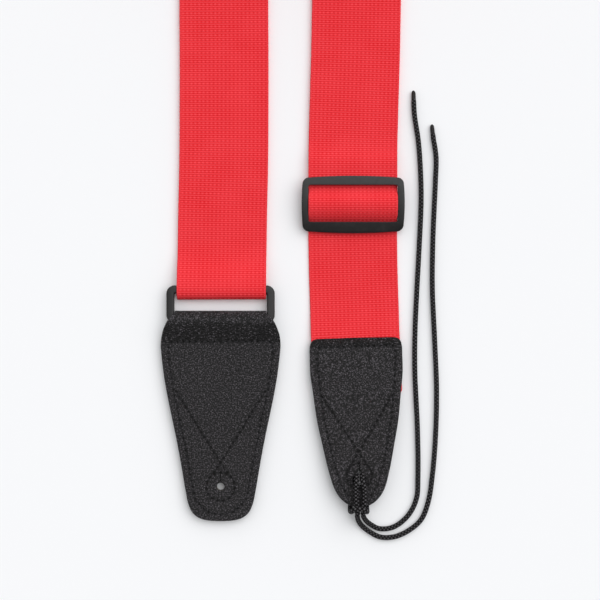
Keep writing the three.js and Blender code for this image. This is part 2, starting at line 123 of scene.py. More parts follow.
def smooth_line(points: Pairs, step: float) -> Points:
    """A smooth line through points (a centripetal Catmull-Rom curve), evenly spaced.

    Args:
        points: what it passes through, in two or three dimensions.
        step: the largest distance between two points of the result.

    Returns:
        the points of the line.
    """
    given = np.asarray(points, float)
    padded = np.vstack([2 * given[0] - given[1], given, 2 * given[-1] - given[-2]])
    found = [given[:1]]

    def mixed(p: Points, q: Points, low: float, high: float, at: Points) -> Points:
        """The point between p, at low, and q, at high."""
        return ((high - at) * p + (at - low) * q) / (high - low)

    for a, b, c, d in zip(padded, padded[1:], padded[2:], padded[3:]):
        spans = [max(float(np.linalg.norm(q - p)), 1e-6) ** 0.5 for p, q in ((a, b), (b, c), (c, d))]
        k0, k1, k2, k3 = np.cumsum([0.0] + spans)
        at = np.linspace(k1, k2, 13)[1:, None]
        first, second, third = mixed(a, b, k0, k1, at), mixed(b, c, k1, k2, at), mixed(c, d, k2, k3, at)
        near, far = mixed(first, second, k0, k2, at), mixed(second, third, k1, k3, at)
        found.append(mixed(near, far, k1, k2, at))
    return evened(np.vstack(found), step)


def arc(centre: Sequence[float], radius: float, start: float, end: float, count: int) -> list[list[float]]:
    """Points on an arc, from one angle in degrees to another, both included."""
    angles = np.radians(np.linspace(start, end, count))
    return [[centre[0] + radius * math.cos(a), centre[1] + radius * math.sin(a)] for a in angles]


def mirrored(pairs: Pairs) -> list[list[float]]:
    """The same [x, y] stations on the other side of the middle line."""
    return [[-x, y] for x, y in pairs]


# ---- meshes -------------------------------------------------------------------------------------


def activate(piece: Object) -> None:
    """Selects one object alone and makes it the active one."""
    bpy.ops.object.select_all(action="DESELECT")
    piece.select_set(True)
    bpy.context.view_layer.objects.active = piece


def face_outwards(piece: Object) -> None:
    """Turns every face of a closed mesh outwards."""
    activate(piece)
    bpy.ops.object.mode_set(mode="EDIT")
    bpy.ops.mesh.select_all(action="SELECT")
    bpy.ops.mesh.normals_make_consistent(inside=False)
    bpy.ops.object.mode_set(mode="OBJECT")


def shade(piece: Object, angle: float = 40.0) -> None:
    """Shades a piece smooth, with edges sharper than angle degrees kept."""
    activate(piece)
    bpy.ops.object.shade_smooth_by_angle(angle=math.radians(angle))


def mesh_piece(name: str, vertices: Points, faces: list, uvs: Points | None = None) -> Object:
    """A new object from vertices and faces, with its faces outwards.

    Args:
        name: the piece's name.
        vertices: millimetres from the maker's origin.
        faces: lists of vertex numbers.
        uvs: one pair for each corner of each face, in order.

    Returns:
        the object.
    """
    mesh = bpy.data.meshes.new(name)
    mesh.from_pydata(placed(vertices).tolist(), [], faces)
    if uvs is not None:
        layer = mesh.uv_layers.new(name="UVMap")
        layer.data.foreach_set("uv", np.asarray(uvs, np.float32).ravel())
    piece = bpy.data.objects.new(name, mesh)
    bpy.context.scene.collection.objects.link(piece)
    face_outwards(piece)
    return piece


def skin(name: str, rows: Points, across: Points, along: Points) -> Object:
    """A closed skin over rows of points, each row a closed section.

    Args:
        name: the piece's name.
        rows: sections by points by three, in millimetres.
        across: the first UV coordinate at each point of a section, and at its start again.
        along: the second UV coordinate of each section.

    Returns:
        the object.
    """
    count, around = rows.shape[:2]
    corner = np.arange(count * around).reshape(count, around)
    beside = np.roll(corner, -1, axis=1)
    quads = np.stack([corner[:-1], beside[:-1], beside[1:], corner[1:]], axis=-1).reshape(-1, 4)
    shape = (count - 1, around)
    u0, u1 = np.broadcast_to(across[:-1], shape), np.broadcast_to(across[1:], shape)
    v0, v1 = (np.broadcast_to(v[:, None], shape) for v in (along[:-1], along[1:]))
    walls = np.stack([u0, v0, u1, v0, u1, v1, u0, v1], axis=-1).reshape(-1, 2)
    ends = [np.stack([across[:-1], np.full(around, v)], axis=1) for v in (along[0], along[-1])]
    faces = quads.tolist() + [corner[0][::-1].tolist(), corner[-1].tolist()]
    return mesh_piece(name, rows.reshape(-1, 3), faces, np.vstack([walls, ends[0][::-1], ends[1]]))


def finished(piece: Object, material: Material, slot: Slot, replaced: Iterable[str]) -> Object:
    """Dresses a piece, hides the frame's nodes that it stands for, and reports it with its slot."""
    if not piece.data.materials:
        piece.data.materials.append(material)
    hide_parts(*replaced)
    LOG.info("%s: %d faces, %s", piece.name, len(piece.data.polygons), slot.value)
    return piece


# ---- material nodes -----------------------------------------------------------------------------


def linear(code: int) -> tuple[float, float, float, float]:
    """An sRGB hex colour as linear red, green, blue and alpha."""
    channels = [((code >> shift) & 255) / 255 for shift in (16, 8, 0)]
    return (*[c / 12.92 if c <= 0.04045 else ((c + 0.055) / 1.055) ** 2.4 for c in channels], 1.0)


def add(tree: NodeTree, kind: str, inputs: dict | None = None, **settings: object) -> Node:
    """Adds a node with its settings and links.

    Args:
        tree: the node tree.
        kind: the node's type name, without "ShaderNode".
        inputs: a socket to link or a value to set, by input name or number.
        settings: the node's own properties.

    Returns:
        the node.
    """
    node = tree.nodes.new("ShaderNode" + kind)
    for name, value in settings.items():
        setattr(node, name, value)
    for name, value in (inputs or {}).items():
        if isinstance(value, NodeSocket):
            tree.links.new(value, node.inputs[name])
        else:
            node.inputs[name].default_value = value
    return node


def calc(tree: NodeTree, operation: str, *values: NodeSocket | float) -> NodeSocket:
    """The result of a Math node on one to three values."""
    return add(tree, "Math", dict(enumerate(values)), operation=operation).outputs[0]


def blended(tree: NodeTree, share: NodeSocket, low: int, high: int) -> NodeSocket:
    """A colour between two sRGB hex colours."""
    node = add(tree, "Mix", {0: share, 6: linear(low), 7: linear(high)}, data_type="RGBA")
    return node.outputs[2]


def ranged(tree: NodeTree, value: NodeSocket, low: float, high: float, start: float,
           end: float) -> NodeSocket:
    """A value mapped from low..high to start..end, and kept between them."""
    return add(tree, "MapRange", {0: value, 1: low, 2: high, 3: start, 4: end}).outputs[0]


def mottle(tree: NodeTree, spot: NodeSocket, scale: float, detail: float, rough: float = 0.5) -> NodeSocket:
    """Soft noise from 0 to 1."""
    settings = {"Vector": spot, "Scale": scale, "Detail": detail, "Roughness": rough}
    return add(tree, "TexNoise", settings).outputs[0]


def new_material(name: str, shader: dict) -> tuple[Material, NodeTree, Node]:
    """An empty material with its surface shader.

    Args:
        name: the material's name.
        shader: the Principled shader's constant values, by socket name.

    Returns:
        the material, its node tree and its surface shader.
    """
    material = bpy.data.materials.new(name)
    material.use_nodes = True
    tree = material.node_tree
    tree.nodes.clear()
    surface = add(tree, "BsdfPrincipled", shader)
    add(tree, "OutputMaterial", {0: surface.outputs[0]})
    return material, tree, surface


def raised(tree: NodeTree, surface: Node, height: NodeSocket, depth_mm: float,
           strength: float = 1.0) -> None:
    """Gives a surface shader a bump of the given depth."""
    bump = add(tree, "Bump", {"Height": height, "Distance": depth_mm * MM, "Strength": strength})
    tree.links.new(bump.outputs[0], surface.inputs["Normal"])


@dataclass(frozen=True)
class WovenFinish:
    """Polyester webbing: ribs across it with rows of raised floats, between plain selvedges.

    The eye gets bright beads in columns with deep red pits between them, and no shine. The yarn's
    filaments are about 0.02 mm thick; the fibre noise stands for them, drawn some fifteen times coarser.
    """

    name: str = "Woven polyester webbing, red"
    shadow: int = 0xD6000A
    yarn: int = 0xFF4E57
    row: float = 1.24  # mm from one row of floats to the next
    float_width: float = 2.26  # mm from one float to the next in a row
    selvedge: float = 24.0  # mm from the middle to the plain edge
    selvedge_rib: float = 0.8  # mm from one rib of the plain edge to the next
    roughness: float = 0.74

    def material(self) -> Material:
        """The webbing's material, on the piece's UV map in metres."""
        material, tree, surface = new_material(self.name, {"Specular IOR Level": 0.2})
        # u runs across the webbing and v along it, both in millimetres from here on
        flat = add(tree, "SeparateXYZ", {0: add(tree, "UVMap", uv_map="UVMap").outputs[0]})
        u = calc(tree, "MULTIPLY", flat.outputs[0], 1 / MM)
        v = calc(tree, "MULTIPLY", flat.outputs[1], 1 / MM)
        spot = add(tree, "CombineXYZ", {0: u, 1: v}).outputs[0]
        # no column of floats is quite straight
        wander = mottle(tree, spot, 0.35, 2.0)
        crooked = calc(tree, "MULTIPLY_ADD", wander, 0.5, u)
        # the floats stand in columns on the ribs, those of every second rib a little stronger
        across = calc(tree, "COSINE", calc(tree, "MULTIPLY", crooked, 2 * math.pi / self.float_width))
        along = calc(tree, "COSINE", calc(tree, "MULTIPLY", v, 2 * math.pi / self.row))
        both = calc(tree, "MULTIPLY_ADD", across, 0.4, along)
        second = calc(tree, "COSINE", calc(tree, "MULTIPLY", v, math.pi / self.row))
        beads = ranged(tree, calc(tree, "MULTIPLY_ADD", calc(tree, "MULTIPLY", across, second), 0.55, both),
                       -1.4, 1.6, 0.0, 1.0)
        # the selvedge is a fine rib across the edge instead
        fine = calc(tree, "SINE", calc(tree, "MULTIPLY", v, math.pi / self.selvedge_rib))
        rib = calc(tree, "ABSOLUTE", fine)
        edge = ranged(tree, calc(tree, "ABSOLUTE", u), self.selvedge - 0.2, self.selvedge + 0.1, 0.0, 1.0)
        relief = add(tree, "Mix", {0: edge, 2: beads, 3: rib}).outputs[0]
        fibre = mottle(tree, spot, 3.2, 3.0)
        patch = mottle(tree, spot, 0.06, 2.0)
        # the pits between the floats are painted in shade, and the floats lighter
        tone = calc(tree, "MULTIPLY_ADD", relief, 0.75, calc(tree, "MULTIPLY_ADD", fibre, 0.5, -0.14))
        tone = calc(tree, "MULTIPLY_ADD", calc(tree, "SUBTRACT", patch, 0.5), 0.25, tone)
        tree.links.new(blended(tree, tone, self.shadow, self.yarn), surface.inputs["Base Color"])
        tree.links.new(ranged(tree, relief, 0.0, 1.0, 0.9, self.roughness), surface.inputs["Roughness"])
        height = calc(tree, "MULTIPLY_ADD", fibre, 0.25, relief)
        raised(tree, surface, height, 0.2, 0.8)
        return material


@dataclass(frozen=True)
class LeatherFinish:
    """Leather, dyed black and embossed with a pebbled grain, creased where it is rolled.

    The eye gets a near-black sheet with small glints on the tops of the pebbles, painted highlights, and
    creases in painted shade between them. The glints are drawn coarser than a real grain's, so that they
    show.
    """

    name: str = "Pebbled leather, black"
    # the colour of the creases in painted shade, then the painted highlight on the pebble tops
    crevice_shade: int = 0x030303
    top: int = 0x605C61
    pebble: float = 1.0  # mm across one pebble of the grain
    wander: float = 1.1  # mm that slow waves bend the rows of pebbles by
    roughness: float = 0.56

    def material(self) -> Material:
        """The leather's material, on object coordinates and the piece's crease and needle-hole masks, which
        also paint shade.
        """
        material, tree, surface = new_material(self.name, {"Specular IOR Level": 0.4})
        spot = add(tree, "TexCoord").outputs["Object"]
        waves = add(tree, "TexNoise", {"Vector": spot, "Scale": 420.0, "Detail": 2.0}).outputs["Color"]
        shift = add(tree, "VectorMath", {0: waves, 1: (0.5, 0.5, 0.5)}, operation="SUBTRACT").outputs[0]
        reach = (self.wander * MM,) * 3
        moved = add(tree, "VectorMath", {0: shift, 1: reach, 2: spot}, operation="MULTIPLY_ADD")
        # small pebbles between large ones
        coarse = self._cells(tree, moved.outputs[0], 1 / (self.pebble * MM))
        fine = self._cells(tree, moved.outputs[0], 2.1 / (self.pebble * MM))
        grain = calc(tree, "MULTIPLY_ADD", fine, 0.35, calc(tree, "MULTIPLY", coarse, 0.65))
        # the creases run across the strap, longer than they are wide
        crease_and_shade = add(tree, "Attribute", attribute_name="crease_and_shade").outputs["Fac"]
        stretched = add(tree, "VectorMath", {0: moved.outputs[0], 1: (0.55, 1.5, 1.2)}, operation="MULTIPLY")
        folds = self._cells(tree, stretched.outputs[0], 0.62 / (self.pebble * MM))
        deeper = calc(tree, "MULTIPLY_ADD", folds, 1.6, grain)
        height = add(tree, "Mix", {0: crease_and_shade, 2: grain, 3: deeper}).outputs[0]
        worn = mottle(tree, spot, 45.0, 3.0)
        highlight_speck = mottle(tree, spot, 1250.0, 1.0)
        # painted glints (highlights) on the pebble tops, painted shade in the creases between them
        tone = calc(tree, "MULTIPLY", ranged(tree, highlight_speck, 0.48, 0.64, 0.0, 1.5), grain)
        tone = calc(tree, "MULTIPLY_ADD", worn, 0.06, tone)
        # where it is crumpled the leather is painted in shade, and only the tops of a few pebbles get a
        # painted highlight
        crumpled = calc(tree, "MULTIPLY", ranged(tree, highlight_speck, 0.53, 0.64, 0.0, 1.2), folds)
        tone = add(tree, "Mix", {0: crease_and_shade, 2: tone, 3: crumpled}).outputs[0]
        # the needle holes and the seams are painted in shade, as no light reaches them
        sewn = add(tree, "Attribute", attribute_name="sewn").outputs["Fac"]
        tone = calc(tree, "MULTIPLY", tone, calc(tree, "SUBTRACT", 1.0, sewn))
        tree.links.new(blended(tree, tone, self.crevice_shade, self.top), surface.inputs["Base Color"])
        dull = calc(tree, "MULTIPLY_ADD", sewn, 0.4, self.roughness)
        rough = calc(tree, "MULTIPLY_ADD", calc(tree, "SUBTRACT", 1.0, grain), 0.16, dull)
        tree.links.new(rough, surface.inputs["Roughness"])
        raised(tree, surface, height, 0.42, 1.0)
        return material

    @staticmethod
    def _cells(tree: NodeTree, spot: NodeSocket, scale: float) -> NodeSocket:
        """Rounded pebbles, 0 in the creases and 1 on top."""
        cells = add(tree, "TexVoronoi", {"Vector": spot, "Scale": scale}, feature="DISTANCE_TO_EDGE")
        return ranged(tree, cells.outputs[0], 0.0, 0.3, 0.0, 1.0)


@dataclass(frozen=True)
class FibreFinish:
    """A matt surface with a fine, short-fibred grain: leather's flesh side, board and thread.

    The eye gets an even, dull colour with a faint fleck. A real fibre is under 0.05 mm thick; the grain
    is drawn several times coarser, so that the fleck shows.
    """

    name: str
    dark: int
    light: int
    grain: float = 0.25  # mm across the fibres
    roughness: float = 0.85
    depth: float = 0.05  # mm

    def material(self) -> Material:
        """The material, on object coordinates."""
        material, tree, surface = new_material(self.name, {"Specular IOR Level": 0.3})
        spot = add(tree, "TexCoord").outputs["Object"]
        fibre = mottle(tree, spot, 1 / (self.grain * MM), 4.0)
        patch = mottle(tree, spot, 120.0, 2.0)
        tone = calc(tree, "MULTIPLY_ADD", patch, 0.4, calc(tree, "MULTIPLY", fibre, 0.6))
        tree.links.new(blended(tree, tone, self.dark, self.light), surface.inputs["Base Color"])
        tree.links.new(ranged(tree, fibre, 0.3, 0.7, 1.0, self.roughness), surface.inputs["Roughness"])
        raised(tree, surface, fibre, self.depth)
        return material


@dataclass(frozen=True)
class MouldedFinish:
    """Injection-moulded acetal with a satin, very finely sparked surface.

    The eye gets soft grey highlights along the rounded edges and a few paler scuffs.
    """

    name: str = "Moulded acetal, black"
    body: int = 0x0D0C0D
    scuffed: int = 0x1E1C1D
    roughness: float = 0.36

    def material(self) -> Material:
        """The plastic's material, on object coordinates."""
        material, tree, surface = new_material(self.name, {"Specular IOR Level": 0.48})
        spot = add(tree, "TexCoord").outputs["Object"]
        spark = mottle(tree, spot, 5200.0, 2.0)
        scuff = mottle(tree, spot, 260.0, 5.0, 0.65)
        marks = ranged(tree, scuff, 0.5, 0.72, 0.0, 1.0)
        tree.links.new(blended(tree, marks, self.body, self.scuffed), surface.inputs["Base Color"])
        rough = calc(tree, "MULTIPLY_ADD", marks, 0.16, self.roughness)
        tree.links.new(calc(tree, "MULTIPLY_ADD", spark, 0.12, rough), surface.inputs["Roughness"])
        raised(tree, surface, spark, 0.012)
        return material


@dataclass(frozen=True)
class BraidFinish:
    """A round lace braided from black nylon filament, its ends melted hard.

    The eye gets rows of crossing strands, each with a painted highlight on its crown, and black gaps
    deepened by painted shade. Fewer strands are drawn than a real braid has, so that they show.
    """

    name: str = "Braided nylon lace, black"
    # the nylon's black deepened by painted shade in the gaps, then the painted highlight on a strand's crown
    gap: int = 0x030303
    strand: int = 0x5A585B
    pitch: float = 2.0  # mm that a strand climbs in one step round
    steps: float = 3.0  # strands that show round the lace, one way

    def material(self) -> Material:
        """The lace's material, on its UV map: once round it, and metres along it."""
        material, tree, surface = new_material(self.name, {"Specular IOR Level": 0.15})
        flat = add(tree, "SeparateXYZ", {0: add(tree, "UVMap", uv_map="UVMap").outputs[0]})
        around = calc(tree, "MULTIPLY", flat.outputs[0], self.steps)
        climb = calc(tree, "DIVIDE", flat.outputs[1], self.pitch * MM)
        left, right = calc(tree, "ADD", around, climb), calc(tree, "SUBTRACT", around, climb)
        # the relief is high where a left-hand strand crosses a right-hand one
        waves = [calc(tree, "ABSOLUTE", calc(tree, "SINE", calc(tree, "MULTIPLY", turn, math.pi)))
                 for turn in (left, right)]
        relief = calc(tree, "POWER", calc(tree, "MULTIPLY", *waves), 0.6)
        # only the crown of each strand is bright, a painted highlight; the gaps get painted shade
        crown = ranged(tree, relief, 0.55, 1.0, 0.0, 1.0)
        tree.links.new(blended(tree, crown, self.gap, self.strand), surface.inputs["Base Color"])
        tree.links.new(ranged(tree, relief, 0.0, 1.0, 0.95, 0.6), surface.inputs["Roughness"])
        raised(tree, surface, relief, 0.3)
        return material


# ---- webbing ------------------------------------------------------------------------------------


@dataclass(frozen=True)
class Leg:
    """One leg of the strap: its centre line as smooth [y, x] stations, in millimetres."""

    stations: tuple[tuple[float, float], ...]

    def x(self, y: Points | float) -> Points:
        """Where the centre line stands at y."""
        line = smooth_line(sorted(self.stations), 1.0)
        return np.interp(y, line[:, 0], line[:, 1])

    def side(self, y: Points) -> Points:
        """The direction across the leg at y, towards +X."""
        lean = (self.x(y + 1.0) - self.x(y - 1.0)) / 2.0
        return unit(np.stack([np.ones_like(lean), -lean, np.zeros_like(lean)], axis=-1))


@dataclass
class Webbing:
    """The strap's one length of webbing, doubled from the ring to the slider, in four pieces."""

    width: float = 50.0
    thick: float = 1.4
    layer: float = 1.7  # from one layer's middle to the next
    step: float = 1.6
    twist_y: float = 70.2  # where the legs begin to turn on edge
    hoop_y: float = 187.2  # where they stand on edge and the bend begins
    left: Leg = Leg(((-110, -34.35), (-90, -34.4), (-66, -34.1), (-49, -33.85), (-32, -33.45), (-15, -33.2),
                     (2, -33.1), (36, -33.05), (70, -33.2), (200, -32.4)))
    right: Leg = Leg(((-130, 41.0), (-119.6, 40.75), (-111, 40.55), (-99.8, 40.27), (-88.5, 39.9),
                      (-77, 39.58), (-66, 39.44), (-40, 39.4), (-15, 39.5), (2, 39.9), (19, 40.4),
                      (36, 40.9), (53, 41.24), (70, 41.55), (200, 43.6)))
    # the layers' middles as [y, z] stations: over the slider's middle bar, and back round it
    front: tuple = ((70.2, 2.4), (0, 2.4), (-11, 2.45), (-16, 2.95), (-21, 4.0), (-26.5, 4.1), (-30, 4.15),
                    (-34.8, 4.4), (-38.5, 5.9), (-42, 8.3), (-45.9, 9.1), (-49.5, 8.4), (-52.4, 6.5),
                    (-54.8, 4.0), (-56.6, 2.2), (-58.8, 1.5))
    back: tuple = ((70.2, 0.7), (0, 0.7), (-12, 0.75), (-16, 1.1), (-21, 2.25), (-26, 2.4), (-34, 2.5),
                   (-38, 3.9), (-42, 6.3), *arc((-45.9, 4.6), 2.5, 90, 270, 8), (-41, 1.2), (-36, 0.72),
                   (-24.2, 0.7))
    # round the ring's far bar, standing off it by the webbing's own stiffness
    fold: tuple = ((70.2, 2.4), (-60, 2.4), (-71, 2.5), (-78, 3.5), (-83.7, 5.2), (-88.4, 6.3),
                   *[(-93.8 + 5.1 * y, 3.9 + 3.2 * z) for y, z in arc((0.0, 0.0), 1.0, 90, 270, 11)],
                   (-88.4, 0.7), (-84, 0.7), (70.2, 0.7))
    lower: tuple = ((-58.9, 1.48), (-61, 1.2), (-64.5, 1.05), (-85, 0.75), (-105, 1.0), (-118, 1.95))
    sewn_in: tuple = ((0.054, -3, 2.2), (0.45, -30, 2.2), (0.45, -62, 2.2))  # in the right tab's frame
    point: float = 30.5  # length of the pointed end inside the tab
    edge: float = 0.55  # radius of the selvedge

    def build(self, tab: "RightTab") -> list[Object]:
        """Makes the four pieces and bakes their transforms.

        Args:
            tab: the right tab, whose frame the lower end lies in.

        Returns:
            the pieces.
        """
        material = WovenFinish().material()
        far, near = "webbing_{}_far_loop", "webbing_{}_{}_leg"
        pieces = [
            self._piece("webbing_left_run", *self._left_run(), material, "folded",
                        [near.format("front", "left"), near.format("return", "left"), "webbing_ring_fold"]),
            self._piece("webbing_right_front_run", *self._right_run(self.front, self.layer), material,
                        "laid", [far.format("front"), near.format("front", "right"), "webbing_slider_pass"]),
            self._piece("webbing_right_return_run", *self._right_run(self.back, 0.0), material, "laid",
                        [far.format("return"), near.format("return", "right"), "webbing_sewn_end"]),
            self._piece("webbing_lower_run", *self._lower_run(tab), material, "laid",
                        ["webbing_lower_right_leg", "webbing_anchor_end"], pointed=True),
        ]
        spans = [(Body.STRAP, Body.FOLD, 60, -80), (Body.STRAP, Body.SLIDER, 190, -20),
                 (Body.STRAP, Body.SLIDER, 190, -20), (Body.SLIDER, Body.STRAP, -66, -170)]
        for piece, (a, b, start, end) in zip(pieces, spans):
            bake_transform(piece)
        return pieces

    def _loop(self, level: float) -> tuple[Points, Points]:
        """The bend at the far end, from the left twist round to the right one.

        Args:
            level: how far the layer's middle stands off the return layer's.

        Returns:
            the middle line and the directions across it.
        """
        climb = np.linspace(self.twist_y, self.hoop_y, 76)
        share = (climb - self.twist_y) / (self.hoop_y - self.twist_y)
        roll = np.pi / 2 * share * share * (3 - 2 * share)
        ends = [float(leg.x(self.hoop_y)) for leg in (self.left, self.right)]
        radius = (ends[1] - ends[0]) / 2
        bend = np.array(arc((sum(ends) / 2, self.hoop_y), radius, 180, 0, 95))[1:-1]
        flat = np.vstack([np.stack([self.left.x(climb), climb], axis=1), bend,
                          np.stack([self.right.x(climb), climb], axis=1)[::-1]])
        roll = np.concatenate([roll, np.full(len(bend), np.pi / 2), roll[::-1]])[:, None]
        line = np.hstack([flat, self.width / 2 * np.sin(roll) + self.thick / 2 * np.cos(roll)])
        along = tangents(flat)
        side = np.hstack([-along[:, 1:], along[:, :1], np.zeros_like(roll)]) * np.cos(roll)
        side[:, 2:] = np.sin(roll)
        face = unit(np.cross(tangents(line), side))
        return line + face * level, side

    def _along(self, leg: Leg, stations: Pairs) -> tuple[Points, Points]:
        """A stretch along a leg through [y, z] stations: its middle line and its directions across."""
        flat = smooth_line(stations, self.step)
        line = np.column_stack([leg.x(flat[:, 0]), flat])
        return line, leg.side(flat[:, 0])

    def _left_run(self) -> tuple[Points, Points]:
        """From the far end down the left leg's front, round the ring's bar and back up behind."""
        line, side = self._along(self.left, self.fold)
        (front, front_side), (back, back_side) = self._loop(self.layer), self._loop(0.0)
        half = len(front) // 2 + 1
        return (np.vstack([front[:half][::-1], line[1:-1], back[:half]]),
                np.vstack([-front_side[:half][::-1], side[1:-1], -back_side[:half]]))

    def _right_run(self, stations: Pairs, level: float) -> tuple[Points, Points]:
        """From the far end down the right leg, on one of its two layers."""
        loop, loop_side = self._loop(level)
        line, side = self._along(self.right, stations)
        half = len(loop) // 2
        return np.vstack([loop[half:], line[1:]]), np.vstack([loop_side[half:], side[1:]])

    def _lower_run(self, tab: "RightTab") -> tuple[Points, Points]:
        """From under the slider's near bar into the right tab."""
        outer = [[float(self.right.x(y)), y, z] for y, z in self.lower]
        inner = tab.set_down(np.array(self.sewn_in)).tolist()
        line = smooth_line(outer + inner, self.step)
        # the leg and the tab both lean a little off the strap's length
        return line, np.tile([1.0, 0.02, 0.0], (len(line), 1))

    def _section(self) -> tuple[Points, Points]:
        """One cross-section: places across and heights, over the face and back under it."""
        half = self.width / 2
        # places across from the middle, closer together towards the rounded selvedge
        share = [0, 4, 8, 12, 16, 19, 21.5, 23, 23.9, 24.3, 24.55, 24.75, 24.9, 24.97, 25.0]
        reach = np.array(share) * half / share[-1]
        x = np.concatenate([-reach[:0:-1], reach])
        past = np.clip((np.abs(x) - (half - self.edge)) / self.edge, 0, 1)
        # the selvedge is woven tighter, so it stands a little proud of the rest
        rim = 0.05 * np.exp(-(((np.abs(x) - 24.3) / 0.5) ** 2))
        height = (self.thick / 2 + rim - 0.03) * np.sqrt(1 - past**2)
        return np.concatenate([x, x[-2:0:-1]]), np.concatenate([height, -height[-2:0:-1]])

    def _piece(self, name: str, line: Points, sides: Points, material: Material, held: str,
               replaced: list[str], pointed: bool = False) -> Object:
        """Args:
            name: the piece's name.
            line: its middle line.
            sides: the directions across, one for each point of the line.
            material: the webbing's material.
            held: how the cloth is held; not used.
            replaced: the frame's nodes that it stands for.
            pointed: whether its last end is cut to a point.

        Returns:
            the piece.
        """
        run = run_of(line)
        along = tangents(line)
        face = unit(np.cross(along, sides))
        side = np.cross(face, along)
        x, height = self._section()
        scale = np.ones(len(line))
        if pointed:
            scale = np.interp(run[-1] - run, [0, self.point, self.point + 1], [0.06, 0.97, 1.0])
        rows = (line[:, None, :] + side[:, None, :] * (x[None, :] * scale[:, None])[..., None]
                + face[:, None, :] * height[None, :, None])
        piece = skin(name, rows, np.append(x, x[0]) * MM, run * MM)
        shade(piece, 50)
        finished(piece, material, Slot.WEBBING, replaced)
        return piece


# ---- leather ------------------------------------------------------------------------------------

Lay = Callable[[Points], tuple[Points, Points]]


@dataclass(frozen=True)
class Stitching:
    """Lockstitches laid along seam lines, each one a short arched length of thread."""

    pitch: float = 3.5
    length: float = 2.6
    radius: float = 0.36
    sides: int = 6
    sunk: float = 0.3  # how far the thread's middle lies under the face
    # one stitch: share along it, drop and share of the radius
    profile: tuple = ((-1.0, -0.5, 0.35), (-0.72, -0.12, 0.85), (0.0, 0.0, 1.0), (0.72, -0.12, 0.85),
                      (1.0, -0.5, 0.35))

    def holes(self, seam: Points) -> Points:
        """The needle holes of one seam, a stitch apart."""
        return evened(seam, self.pitch)

    def build(self, name: str, seams: list[Points], lay: Lay) -> Object:
        """Makes one seam's stitches as one mesh.

        Args:
            name: the piece's name.
            seams: the sewing lines in the sheet's coordinates.
            lay: puts sheet coordinates in place, with the outward direction.

        Returns:
            the piece.
        """
        turns = np.arange(self.sides) * 2 * np.pi / self.sides
        vertices, faces = [], []
        for seam in seams:
            stops, outward = lay(self.holes(seam))
            for start, end, up in zip(stops, stops[1:], outward):
                middle, ahead = (start + end) / 2, unit(end - start)
                across = np.cross(ahead, up)
                first = len(vertices)
                for at, drop, girth in self.profile:
                    spot = middle + ahead * at * self.length / 2 + up * (drop - self.sunk)
                    for turn in turns:
                        ring = across * math.cos(turn) + up * math.sin(turn)
                        vertices.append(spot + ring * girth * self.radius)
                last = first + (len(self.profile) - 1) * self.sides
                for row in range(first, last, self.sides):
                    for k in range(self.sides):
                        a, b = row + k, row + (k + 1) % self.sides
                        faces.append([a, b, b + self.sides, a + self.sides])
                faces.append([first + k for k in range(self.sides)][::-1])
                faces.append([last + k for k in range(self.sides)])
        piece = mesh_piece(name, np.array(vertices), faces)
        shade(piece, 60)
        return piece


EDGE_SEAM = Stitching()
TIGHT_SEAM = Stitching(sunk=0.42)  # pulled down harder than the seam round the edge


